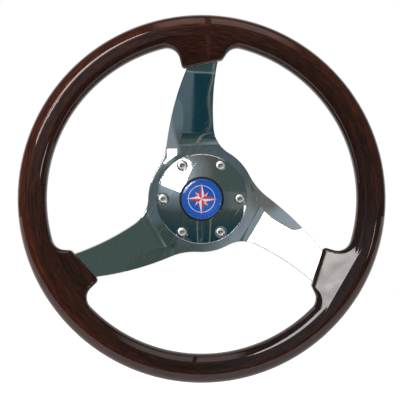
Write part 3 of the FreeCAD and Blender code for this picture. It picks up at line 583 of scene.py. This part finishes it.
# Ring screws: six countersunk M5 machine screws with hexagon sockets, in stainless. Their
# heads are turned, so they are bright but not mirrors.
SCREW_EASE = 0.0003
SCREW_CIRCLE = 0.037
SCREW_SPACING = math.radians(60)
SCREW_HEAD_RADIUS = 0.005
# Colours from the middle of the head to its edge: painted shade in the socket, darkest at its
# mouth, then the bright face, and painted shade again at its edge down in the seat.
SCREW_STEEL_AND_PAINTED_SHADE = (
    (0.18, (0.50, 0.49, 0.45)), (0.28, (0.08, 0.08, 0.07)), (0.36, (0.95, 0.94, 0.90)),
    (0.74, (0.95, 0.93, 0.88)), (0.85, (0.42, 0.41, 0.38)), (0.93, (0.10, 0.11, 0.10)),
)
SCREW_ROUGHNESS = (0.32, 0.44)
SCREW_MARK_DEPTH = 0.000006
SOCKET_CONE = (0.0012, 0.0026)
SOCKET_CONE_DEPTH = 0.0009
CROWN_START = 0.0032
CROWN_SLOPE = 0.28


def turned_steel():
    """Bright stainless with a coned socket mouth.

    Painted shade darkens the socket and a line round the head in its seat.
    """
    finish, tree, shader = new_finish("turned_steel")
    shader.inputs["Metallic"].default_value = 1.0
    spot = on_piece(tree)
    _, along, aside = from_nearest(tree, spot, 0.0, SCREW_SPACING)
    ahead = maths(tree, "SUBTRACT", along, SCREW_CIRCLE)
    own = add(tree, "CombineXYZ", {0: ahead, 1: aside}).outputs[0]
    radius = measure(tree, "LENGTH", own)
    # Painted shade: the socket, its mouth and the head's edge in its seat are coloured dark.
    shade = ramp(tree, maths(tree, "DIVIDE", radius, SCREW_HEAD_RADIUS), *SCREW_STEEL_AND_PAINTED_SHADE)
    marks = noise(tree, spot, scale=1400.0, detail=4.0)
    cone = spread(tree, radius, *SOCKET_CONE, end=SOCKET_CONE_DEPTH)
    height = maths(tree, "MULTIPLY_ADD", past(tree, radius, CROWN_START), -CROWN_SLOPE, cone)
    height = maths(tree, "MULTIPLY_ADD", marks, SCREW_MARK_DEPTH, height)
    rough = spread(tree, marks, *NOISE_SPAN, *SCREW_ROUGHNESS)
    give(tree, shader, Base_Color=shade, Roughness=rough, Normal=relief(tree, height))
    return finish


screws = eased_copy("ring_screws", SCREW_EASE, "countersunk_screws")
wear(screws, turned_steel())
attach(screws, "wheel")

# Centre cap: moulded in black plastic, a cup that plugs the ring's bore and carries the
# badge in a recess. Only its narrow rim shows.
CAP_EASE = 0.00012
CAP_BLACKS = ((0.30, (0.010, 0.010, 0.011)), (0.70, (0.020, 0.020, 0.021)))
CAP_ROUGHNESS = (0.28, 0.42)
TOOLING_DEPTH = 0.000015


def moulded_black():
    """Semi-gloss black moulding with a very fine tooled texture."""
    finish, tree, shader = new_finish("moulded_black")
    tooled = noise(tree, on_piece(tree), scale=2200.0, detail=3.0)
    give(
        tree, shader, Base_Color=ramp(tree, tooled, *CAP_BLACKS),
        Roughness=spread(tree, tooled, *NOISE_SPAN, *CAP_ROUGHNESS),
        Normal=relief(tree, tooled, strength=0.6, distance=TOOLING_DEPTH),
    )
    return finish


cap = eased_copy("centre_cap", CAP_EASE, "moulded_cap")
wear(cap, moulded_black())
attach(cap, "cap")

# O-ring: a nitrile cord ring in the cap's groove. It rubs in the ring's bore and keeps the
# cap from falling out.
RUBBER_BLACKS = ((0.35, (0.014, 0.014, 0.014)), (0.75, (0.034, 0.034, 0.033)))
BLOOM_DEPTH = 0.00002


def nitrile():
    """Matt black rubber with a dusty bloom."""
    finish, tree, shader = new_finish("nitrile")
    shader.inputs["Roughness"].default_value = 0.72
    bloom = noise(tree, on_piece(tree), scale=700.0, detail=5.0)
    give(
        tree, shader, Base_Color=ramp(tree, bloom, *RUBBER_BLACKS),
        Normal=relief(tree, bloom, strength=0.5, distance=BLOOM_DEPTH),
    )
    return finish


wear(nodes["cap_o_ring"], nitrile())

# Badge label: a round of printed film at the bottom of the cap's recess. It is blue and
# bears a plain eight-pointed compass rose in red and white.
LABEL_BLUE = (0.013, 0.095, 0.430)
LABEL_RED = (0.66, 0.032, 0.018, 1)
LABEL_WHITE = (0.70, 0.70, 0.72, 1)
THIN_INK = tuple(0.9 * part for part in LABEL_BLUE)
ROSE_CIRCLE = 0.0128
ROSE_LINE_HALF_WIDTH = 0.00028
# The stars, the lower one first: how far out its tips and its notches are, and its turn.
ROSE_STARS = ((0.0092, 0.0034, math.pi / 4), (0.0150, 0.0040, 0.0))


def star(tree, flat, tip, notch, turn):
    """Four-pointed star: how far a place is inside it, and which side of its point it is on.

    Each point is a kite, from its tip to the notches half a quarter turn to either side.
    """
    out = measure(tree, "LENGTH", flat)
    parts = add(tree, "SeparateXYZ", {0: flat})
    angle = maths(tree, "ARCTAN2", parts.outputs["Y"], parts.outputs["X"])
    turned = maths(tree, "ADD", angle, turn + math.pi / 4 + 2 * math.pi)
    folded = maths(tree, "SUBTRACT", maths(tree, "MODULO", turned, math.pi / 2), math.pi / 4)
    side = maths(tree, "GREATER_THAN", folded, 0.0)
    along = product(tree, out, maths(tree, "COSINE", folded))
    aside = product(tree, out, maths(tree, "SINE", maths(tree, "ABSOLUTE", folded)))
    corner = notch / math.sqrt(2)
    lean = (1 - corner / tip) / corner
    edge = maths(
        tree, "ADD", maths(tree, "DIVIDE", along, tip), maths(tree, "MULTIPLY", aside, lean)
    )
    return maths(tree, "LESS_THAN", edge, 1.0), side


def printed_rose():
    """Printed film: a thin white circle and two four-pointed stars, on blue."""
    finish, tree, shader = new_finish("printed_rose")
    shader.inputs["Roughness"].default_value = 0.35
    shader.inputs["Specular IOR Level"].default_value = 0.0
    spot = on_piece(tree)
    flat = flattened(tree, spot)
    ink = noise(tree, spot, scale=900.0, detail=3.0)
    blue = ramp(tree, ink, (0.3, THIN_INK), (0.7, LABEL_BLUE))
    off_circle = maths(tree, "SUBTRACT", measure(tree, "LENGTH", flat), ROSE_CIRCLE)
    circle = maths(tree, "LESS_THAN", maths(tree, "ABSOLUTE", off_circle), ROSE_LINE_HALF_WIDTH)
    shade = mixed(tree, circle, blue, LABEL_WHITE)
    for tip, notch, turn in ROSE_STARS:
        inside, side = star(tree, flat, tip, notch, turn)
        shade = mixed(tree, inside, shade, mixed(tree, side, LABEL_WHITE, LABEL_RED))
    give(tree, shader, Base_Color=shade)
    return finish


wear(nodes["badge_label"], printed_rose())

# Badge dome: clear resin poured over the label, which draws itself up to a round shoulder.
# It is part of the cap's badge and magnifies the print a little at its edge.
LABEL_GLUE = 0.00002
DOME_SHOULDER = 0.0160
DOME_ROUNDNESS = 55.0
RESIN_TINT = (0.95, 0.97, 1.0, 1)
HANDLING_SPAN = (0.4, 0.8)
HANDLING_ROUGHNESS = (0.0, 0.015)


def clear_resin():
    """Water-clear resin. Light passes it on its way to the label without being bent."""
    finish, tree, shader = new_finish("clear_resin")
    shader.inputs["Base Color"].default_value = RESIN_TINT
    shader.inputs["Transmission Weight"].default_value = 1.0
    shader.inputs["IOR"].default_value = 1.5
    spot = on_piece(tree)
    handling = noise(tree, spot, scale=160.0, detail=4.0)
    outward = past(tree, from_axis(tree, spot), DOME_SHOULDER)
    give(
        tree, shader, Roughness=spread(tree, handling, *HANDLING_SPAN, *HANDLING_ROUGHNESS),
        Normal=relief(tree, product(tree, outward, outward, -DOME_ROUNDNESS)),
    )
    passing = add(tree, "BsdfTransparent", {"Color": RESIN_TINT})
    ray = add(tree, "LightPath")
    chosen = add(
        tree, "MixShader",
        {0: ray.outputs["Is Shadow Ray"], 1: shader.outputs[0], 2: passing.outputs[0]},
    )
    tree.links.new(chosen.outputs[0], tree.nodes["Material Output"].inputs["Surface"])
    return finish


dome = eased_copy("badge_dome", 0.0, "resin_dome")
dome_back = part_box("badge_dome")[1][1]
for corner in dome.data.vertices:
    if corner.co.y > dome_back - LABEL_GLUE:
        corner.co.y = dome_back - LABEL_GLUE
wear(dome, clear_resin())
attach(dome, "cap")

# Studio: a pale floor, a large soft light high on the left, and a dim room in front of the
# wheel for its polish to reflect. What lies behind the wheel is plain white.
FLOOR_LEVEL = -0.30
FLOOR_FRONT = -0.27
FLOOR_BACK = 4.0
FLOOR_HALF_WIDTH = 3.0
FLOOR_COLOUR = (0.9, 0.9, 0.9, 1)
# How white the floor is seen, from under the wheel to this far behind it.
FLOOR_WHITENESS = (0.38, 0.75)
FLOOR_WHITEST = 1.2
WHITE = (1, 1, 1, 1)


def stage_sheet(name, corners):
    """Flat sheet of the studio through a few corners."""
    form = bmesh.new()
    form.faces.new([form.verts.new(corner) for corner in corners])
    sheet = new_piece(name, form)
    return sheet


def seen_directly(tree):
    """1 for what the camera, polish and clear resin see, and 0 for light that falls on things."""
    ray = add(tree, "LightPath")
    seen = maths(tree, "MAXIMUM", ray.outputs["Is Camera Ray"], ray.outputs["Is Glossy Ray"])
    return maths(tree, "MAXIMUM", seen, ray.outputs["Is Transmission Ray"])


def pale_floor():
    """Pale matt sheet that runs out into white and keeps the wheel's shadow near it."""
    finish, tree, shader = new_finish("pale_floor")
    shader.inputs["Base Color"].default_value = FLOOR_COLOUR
    shader.inputs["Roughness"].default_value = 0.9
    shader.inputs["Emission Color"].default_value = WHITE
    back = add(tree, "SeparateXYZ", {0: on_piece(tree)}).outputs["Y"]
    whiter = spread(tree, back, 0.0, FLOOR_WHITEST, *FLOOR_WHITENESS)
    give(tree, shader, Emission_Strength=product(tree, seen_directly(tree), whiter))
    return finish


floor = stage_sheet(
    "floor",
    [(-FLOOR_HALF_WIDTH, FLOOR_FRONT, FLOOR_LEVEL), (FLOOR_HALF_WIDTH, FLOOR_FRONT, FLOOR_LEVEL),
     (FLOOR_HALF_WIDTH, FLOOR_BACK, FLOOR_LEVEL), (-FLOOR_HALF_WIDTH, FLOOR_BACK, FLOOR_LEVEL)],
)
wear(floor, pale_floor())

# Soft light: a frame of hung cloth, lit from behind. Its outline is metres to the left and
# up from the way to it, and so is a thicker patch, which is dimmer where polish shows it.
# Each of the patch's spans is its two ends and how softly it fades.
LIGHT_WAY = (-0.435, -0.788, 0.435)
LIGHT_DISTANCE = 1.9
LIGHT_OUTLINE = (
    (-0.37, 0.30), (-0.56, 0.20), (-0.62, -0.03), (-0.51, -0.41), (-0.37, -0.69),
    (0.15, -0.50), (0.27, -0.20), (0.20, 0.16), (-0.06, 0.34),
)
LIGHT_STRENGTH = 9.5
LIGHT_COLOUR = (1.0, 0.965, 0.94, 1)
FOLD_BRIGHTNESS = (0.72, 1.40)
PATCH_STRENGTH = 2.1
PATCH_LEFT = (-0.07, 0.16, 0.02)
PATCH_UP = (-0.42, -0.22, 0.02)
way = Vector(LIGHT_WAY).normalized()
leftward = way.cross(Vector((0, 0, 1))).normalized()
upward = leftward.cross(way)


def shine(tree, colour, strength=1.0):
    """Make a finish give out light, and nothing else."""
    tree.nodes.remove(tree.nodes["Principled BSDF"])
    light = add(tree, "Emission", {"Color": colour, "Strength": strength})
    tree.links.new(light.outputs[0], tree.nodes["Material Output"].inputs["Surface"])


def light_cloth():
    """Bright folded cloth, with a thicker patch that shows dimmer in polish."""
    finish, tree, _ = new_finish("light_cloth")
    spot = on_piece(tree)
    patch = product(
        tree, between(tree, measure(tree, "DOT_PRODUCT", spot, leftward), *PATCH_LEFT),
        between(tree, measure(tree, "DOT_PRODUCT", spot, upward), *PATCH_UP),
        add(tree, "LightPath").outputs["Is Glossy Ray"],
    )
    strength = maths(
        tree, "MULTIPLY_ADD", patch, PATCH_STRENGTH - LIGHT_STRENGTH, LIGHT_STRENGTH
    )
    folds = noise(tree, spot, scale=20.0, detail=2.0, distortion=1.2)
    folded = spread(tree, folds, *NOISE_SPAN, *FOLD_BRIGHTNESS)
    shine(tree, LIGHT_COLOUR, product(tree, strength, folded))
    return finish


soft_light = stage_sheet(
    "soft_light",
    [way * LIGHT_DISTANCE + leftward * left + upward * up for left, up in LIGHT_OUTLINE],
)
wear(soft_light, light_cloth())
soft_light.visible_camera = False

# Dim room: a painted globe around the wheel, open behind it, that only polish shows. Its
# places are slopes: metres to the right, or up, for each metre in front of the wheel.
# A span of them is its two ends and how softly it fades past them.
ROOM_RADIUS = 3.3
ROOM_BACK = 1.6
LEAST_AHEAD = 0.05
# Wall from low down to high up.
WALL_SHADES = (
    (0.16, (0.010, 0.052, 0.072)), (0.28, (0.024, 0.068, 0.082)), (0.36, (0.050, 0.078, 0.076)),
    (0.50, (0.085, 0.115, 0.125)), (0.62, (0.125, 0.140, 0.136)), (0.85, (0.135, 0.147, 0.142)),
)
# On the right it is paler level with the wheel and darker higher up: how far to the right
# each part is full and how softly it starts, its span of heights, and its colour.
RIGHT_WALLS = (
    ((0.55, 0.30), (-0.12, 0.10, 0.08), (0.165, 0.200, 0.210, 1)),
    ((0.30, 0.20), (0.14, 0.80, 0.05), (0.084, 0.124, 0.117, 1)),
)
LOW_CORNER = (-0.30, -0.75, 0.0)
LOW_CORNER_REACH = (0.10, 0.05)
LOW_CORNER_SHADE = (0.088, 0.122, 0.124, 1)
LIT_WALL = (-0.45, 0.40, 0.0)
LIT_WALL_GLOW = (
    (0.28, (0.30, 0.38, 0.46)), (0.40, (0.12, 0.15, 0.17)), (0.62, (0.0, 0.0, 0.0)),
)


def room_slopes(tree):
    """Slopes to the right and up of a place in the room, and both as one flat vector."""
    parts = add(tree, "SeparateXYZ", {0: on_piece(tree)})
    ahead = maths(tree, "MAXIMUM", product(tree, parts.outputs["Y"], -1.0), LEAST_AHEAD)
    right = maths(tree, "DIVIDE", parts.outputs["X"], ahead)
    up = maths(tree, "DIVIDE", parts.outputs["Z"], ahead)
    return right, up, add(tree, "CombineXYZ", {0: right, 1: up}).outputs[0]


def room_wall(tree, right, up, flat):
    """Wall: teal and dark low down, grey above, and pale around the soft light."""
    wall = ramp(tree, spread(tree, up, -1.0, 1.0), *WALL_SHADES)
    for start, heights, colour in RIGHT_WALLS:
        side = product(tree, over(tree, right, *start), between(tree, up, *heights))
        wall = mixed(tree, side, wall, colour)
    corner = under(tree, measure(tree, "DISTANCE", flat, LOW_CORNER), *LOW_CORNER_REACH)
    wall = mixed(tree, corner, wall, LOW_CORNER_SHADE)
    glow = ramp(tree, measure(tree, "DISTANCE", flat, LIT_WALL), *LIT_WALL_GLOW)
    return mixed(tree, 1.0, wall, glow, "ADD")


# Straight in front of the wheel the wall gets paler to the right, and less so higher up.
MIDDLE_SPAN = 0.09
LEAN_RIGHT = 0.85
LEAN_UP = -0.25
LEAN_ABOVE = -1.5
MIDDLE_SHADES = (
    (0.11, (0.102, 0.140, 0.158)), (0.333, (0.125, 0.170, 0.195)), (0.44, (0.115, 0.152, 0.170)),
    (0.54, (0.090, 0.120, 0.125)), (0.66, (0.250, 0.310, 0.350)), (0.90, (0.440, 0.520, 0.570)),
)
# Soft spots on it: their place, radius and colour.
MIDDLE_SPOTS = (
    ((-0.048, -0.052, 0.0), 0.034, (0.075, 0.108, 0.100, 1)),
    ((-0.020, 0.070, 0.0), 0.020, (0.150, 0.220, 0.260, 1)),
    ((0.051, 0.005, 0.0), 0.020, (0.200, 0.205, 0.190, 1)),
    ((-0.029, -0.030, 0.0), 0.015, (0.062, 0.096, 0.086, 1)),
)
# This middle is a ring, which is narrower up on the left and down on the right.
MIDDLE_INSIDE = (0.036, 0.006)
MIDDLE_OUTSIDE = (0.10, 0.038)
MIDDLE_FADE = 0.006
MIDDLE_NARROWS = (0.76, 0.86)
# Inside and around it the shade goes by direction: from 0, dark, up on the right and down on
# the left, to 1, pale, the other way. It is evened out at the centre, where a spot is pale.
CENTRE_EVENING = 0.00002
AROUND_REACH = (0.27, 0.05)
AROUND_SHADES = (
    (0.10, (0.078, 0.114, 0.108)), (0.52, (0.088, 0.124, 0.128)),
    (0.64, (0.200, 0.250, 0.280)), (0.90, (0.310, 0.375, 0.415)),
)
CENTRE_REACH = (0.001, 0.005)
CENTRE_SHADE = (0.26, 0.31, 0.34, 1)


def room_middle(tree, wall, right, up, flat):
    """Wall straight in front, and what lies close around it."""
    lean = maths(tree, "MULTIPLY_ADD", right, LEAN_RIGHT, product(tree, up, LEAN_UP))
    lean = maths(tree, "MULTIPLY_ADD", maths(tree, "MAXIMUM", up, 0.0), LEAN_ABOVE, lean)
    middle = ramp(tree, spread(tree, lean, -MIDDLE_SPAN, MIDDLE_SPAN), *MIDDLE_SHADES)
    for place, radius, colour in MIDDLE_SPOTS:
        away = measure(tree, "DISTANCE", flat, place)
        middle = mixed(tree, under(tree, away, radius / 2, radius / 2), middle, colour)
    out = measure(tree, "LENGTH", flat)
    squared = maths(tree, "MULTIPLY_ADD", out, out, CENTRE_EVENING)
    crossed = maths(tree, "DIVIDE", product(tree, right, up), squared)
    crossed = maths(tree, "SUBTRACT", 0.5, crossed)
    around = ramp(tree, crossed, *AROUND_SHADES)
    wall = mixed(tree, under(tree, out, *AROUND_REACH), wall, around)
    wall = mixed(tree, under(tree, out, *CENTRE_REACH), wall, CENTRE_SHADE)
    outside = spread(tree, crossed, *MIDDLE_NARROWS, *MIDDLE_OUTSIDE)
    within = product(
        tree, under(tree, maths(tree, "SUBTRACT", out, outside), 0.0, MIDDLE_FADE),
        over(tree, out, *MIDDLE_INSIDE),
    )
    return mixed(tree, within, wall, middle)


# Low in front stand two posts, a pale strip that leans and a dark one beside it, a ledge
# across them, and a pale line that bends away upwards.
POSTS = (-0.063, 0.135)
POST_HALF_WIDTH = 0.007
POST_FADE = 0.006
POST_HEIGHT = (-0.95, -0.30, 0.03)
POST_SHADE = (0.21, 0.22, 0.17, 1)
PALE_STRIP = (-0.0055, 0.0152, 0.0005)
PALE_STRIP_LEAN = -0.034
PALE_STRIP_HEIGHT = (-0.95, -0.66, 0.03)
PALE_STRIP_RISE = (-0.76, -0.67)
PALE_STRIP_SHADES = ((0.05, (0.068, 0.113, 0.122)), (0.55, (0.110, 0.175, 0.205)))
DARK_STRIP = (0.0125, 0.0300, 0.0006)
DARK_STRIP_HEIGHT = (-0.95, -0.35, 0.2)
DARK_STRIP_SHADE = (0.036, 0.085, 0.105, 1)
LEDGE_WIDTH = (-0.03, 0.02, 0.002)
LEDGE_SLOPE = 0.17
LEDGE_EDGE = -0.6673
# Heights and colour of the ledge's dark back and of its pale edge.
LEDGE_PARTS = (
    ((LEDGE_EDGE, -0.62, 0.0004), (0.046, 0.092, 0.104, 1)),
    ((-0.6684, LEDGE_EDGE, 0.0003), (0.300, 0.360, 0.360, 1)),
)
LINE_WIDTH = (-0.0006, 0.0005, 0.0003)
LINE_HEIGHT = (-0.95, -0.12, 0.02)
LINE_SHADE = (0.33, 0.33, 0.29, 1)
# The line is wavy low down, in shares of its height and shift there. Higher up it swerves
# to the left and gets wider.
LINE_WAVE = 0.0141
LINE_WAVE_HEIGHT = (-0.76, -0.64)
LINE_WAVES = (
    (0.14, 0.34), (0.19, 0.56), (0.27, 0.77), (0.35, 0.78), (0.46, 0.70), (0.56, 0.72),
    (0.70, 0.95),
)
LINE_SWERVE = 0.021
LINE_SWERVE_START = -0.655
LINE_WIDENING = 7.0
LINE_WIDEST = 0.12


def bent_line(tree, right, up):
    """Pale line that bends away: 1 on it and 0 beside it."""
    wave = add(tree, "FloatCurve", {"Value": spread(tree, up, *LINE_WAVE_HEIGHT)})
    points = wave.mapping.curves[0].points
    for place, shift in LINE_WAVES:
        points.new(place, shift)
    points[0].location = (0.0, 0.0)
    points[-1].location = (1.0, 1.0)
    line = maths(tree, "MULTIPLY_ADD", wave.outputs[0], -LINE_WAVE, right)
    swerve = maths(tree, "SQRT", past(tree, up, LINE_SWERVE_START))
    line = maths(tree, "MULTIPLY_ADD", swerve, LINE_SWERVE, line)
    widened = maths(
        tree, "MULTIPLY_ADD", maths(tree, "MINIMUM", swerve, LINE_WIDEST), LINE_WIDENING, 1.0
    )
    line = maths(tree, "DIVIDE", line, widened)
    return product(tree, between(tree, line, *LINE_WIDTH), between(tree, up, *LINE_HEIGHT))


def low_things(tree, wall, right, up):
    """Upright things that stand low in front of the wall."""
    low = between(tree, up, *POST_HEIGHT)
    for place in POSTS:
        ends = place - POST_HALF_WIDTH, place + POST_HALF_WIDTH
        post = product(tree, between(tree, right, *ends, POST_FADE), low)
        wall = mixed(tree, post, wall, POST_SHADE)
    leaning = maths(tree, "MULTIPLY_ADD", up, PALE_STRIP_LEAN, right)
    strip = product(
        tree, between(tree, leaning, *PALE_STRIP), between(tree, up, *PALE_STRIP_HEIGHT)
    )
    shade = ramp(tree, spread(tree, up, *PALE_STRIP_RISE), *PALE_STRIP_SHADES)
    wall = mixed(tree, strip, wall, shade)
    strip = product(
        tree, between(tree, right, *DARK_STRIP), between(tree, up, *DARK_STRIP_HEIGHT)
    )
    wall = mixed(tree, strip, wall, DARK_STRIP_SHADE)
    sloped = maths(tree, "MULTIPLY_ADD", right, LEDGE_SLOPE, up)
    across = between(tree, right, *LEDGE_WIDTH)
    for heights, colour in LEDGE_PARTS:
        ledge = product(tree, between(tree, sloped, *heights), across)
        wall = mixed(tree, ledge, wall, colour)
    return mixed(tree, bent_line(tree, right, up), wall, LINE_SHADE)


# A dark beam parts the lit ceiling in two halves. Each has its left and right end, both with
# how softly it fades, in metres to the right for each metre up.
CEILING_HEIGHT = (0.80, 30.0, 0.04)
CEILING_LOWEST = 0.1
CEILING_MIDDLE = 0.008
CEILING_HALVES = (((-0.20, 0.12), (0.026, 0.002)), ((0.052, 0.002), (0.40, 0.30)))
CEILING_SHADE = (1.36, 1.20, 1.12, 1)
# A small window low on the right.
WINDOW_WIDTH = (0.748, 1.0, 0.015)
WINDOW_HEIGHT = (-0.28, -0.13, 0.02)
WINDOW_SHADE = (5.5, 5.4, 5.2, 1)


def ceiling_and_window(tree, wall, right, up):
    """Bright things: the ceiling above the wheel and the window beside it."""
    beside = maths(
        tree, "DIVIDE", maths(tree, "SUBTRACT", right, CEILING_MIDDLE),
        maths(tree, "MAXIMUM", up, CEILING_LOWEST),
    )
    high = between(tree, up, *CEILING_HEIGHT)
    for left_end, right_end in CEILING_HALVES:
        half = product(tree, over(tree, beside, *left_end), under(tree, beside, *right_end))
        wall = mixed(tree, product(tree, high, half), wall, CEILING_SHADE)
    window = product(
        tree, between(tree, up, *WINDOW_HEIGHT), between(tree, right, *WINDOW_WIDTH)
    )
    return mixed(tree, window, wall, WINDOW_SHADE)


def dim_room():
    """What polish shows: the wall, the things low in front of it, the ceiling and the window."""
    finish, tree, _ = new_finish("dim_room")
    right, up, flat = room_slopes(tree)
    wall = room_wall(tree, right, up, flat)
    wall = room_middle(tree, wall, right, up, flat)
    wall = low_things(tree, wall, right, up)
    shine(tree, ceiling_and_window(tree, wall, right, up))
    return finish


globe = bmesh.new()
bmesh.ops.create_uvsphere(globe, u_segments=48, v_segments=24, radius=ROOM_RADIUS)
bmesh.ops.bisect_plane(
    globe, geom=globe.verts[:] + globe.edges[:] + globe.faces[:], plane_co=(0, ROOM_BACK, 0),
    plane_no=(0, 1, 0), clear_outer=True,
)
room = new_piece("dim_room", globe)
wear(room, dim_room())
room.visible_camera = False
room.visible_diffuse = False
room.visible_shadow = False

# Surroundings: white where the camera, polish and clear resin see them, and less bright as
# the light that fills in the shadows.
FILL = 0.45
world = bpy.data.worlds.new("white_surroundings")
scene.world = world
world.use_nodes = True
tree = world.node_tree
background = tree.nodes["Background"]
background.inputs["Color"].default_value = WHITE
strength = maths(tree, "MULTIPLY_ADD", seen_directly(tree), 1.0 - FILL, FILL)
tree.links.new(strength, background.inputs["Strength"])
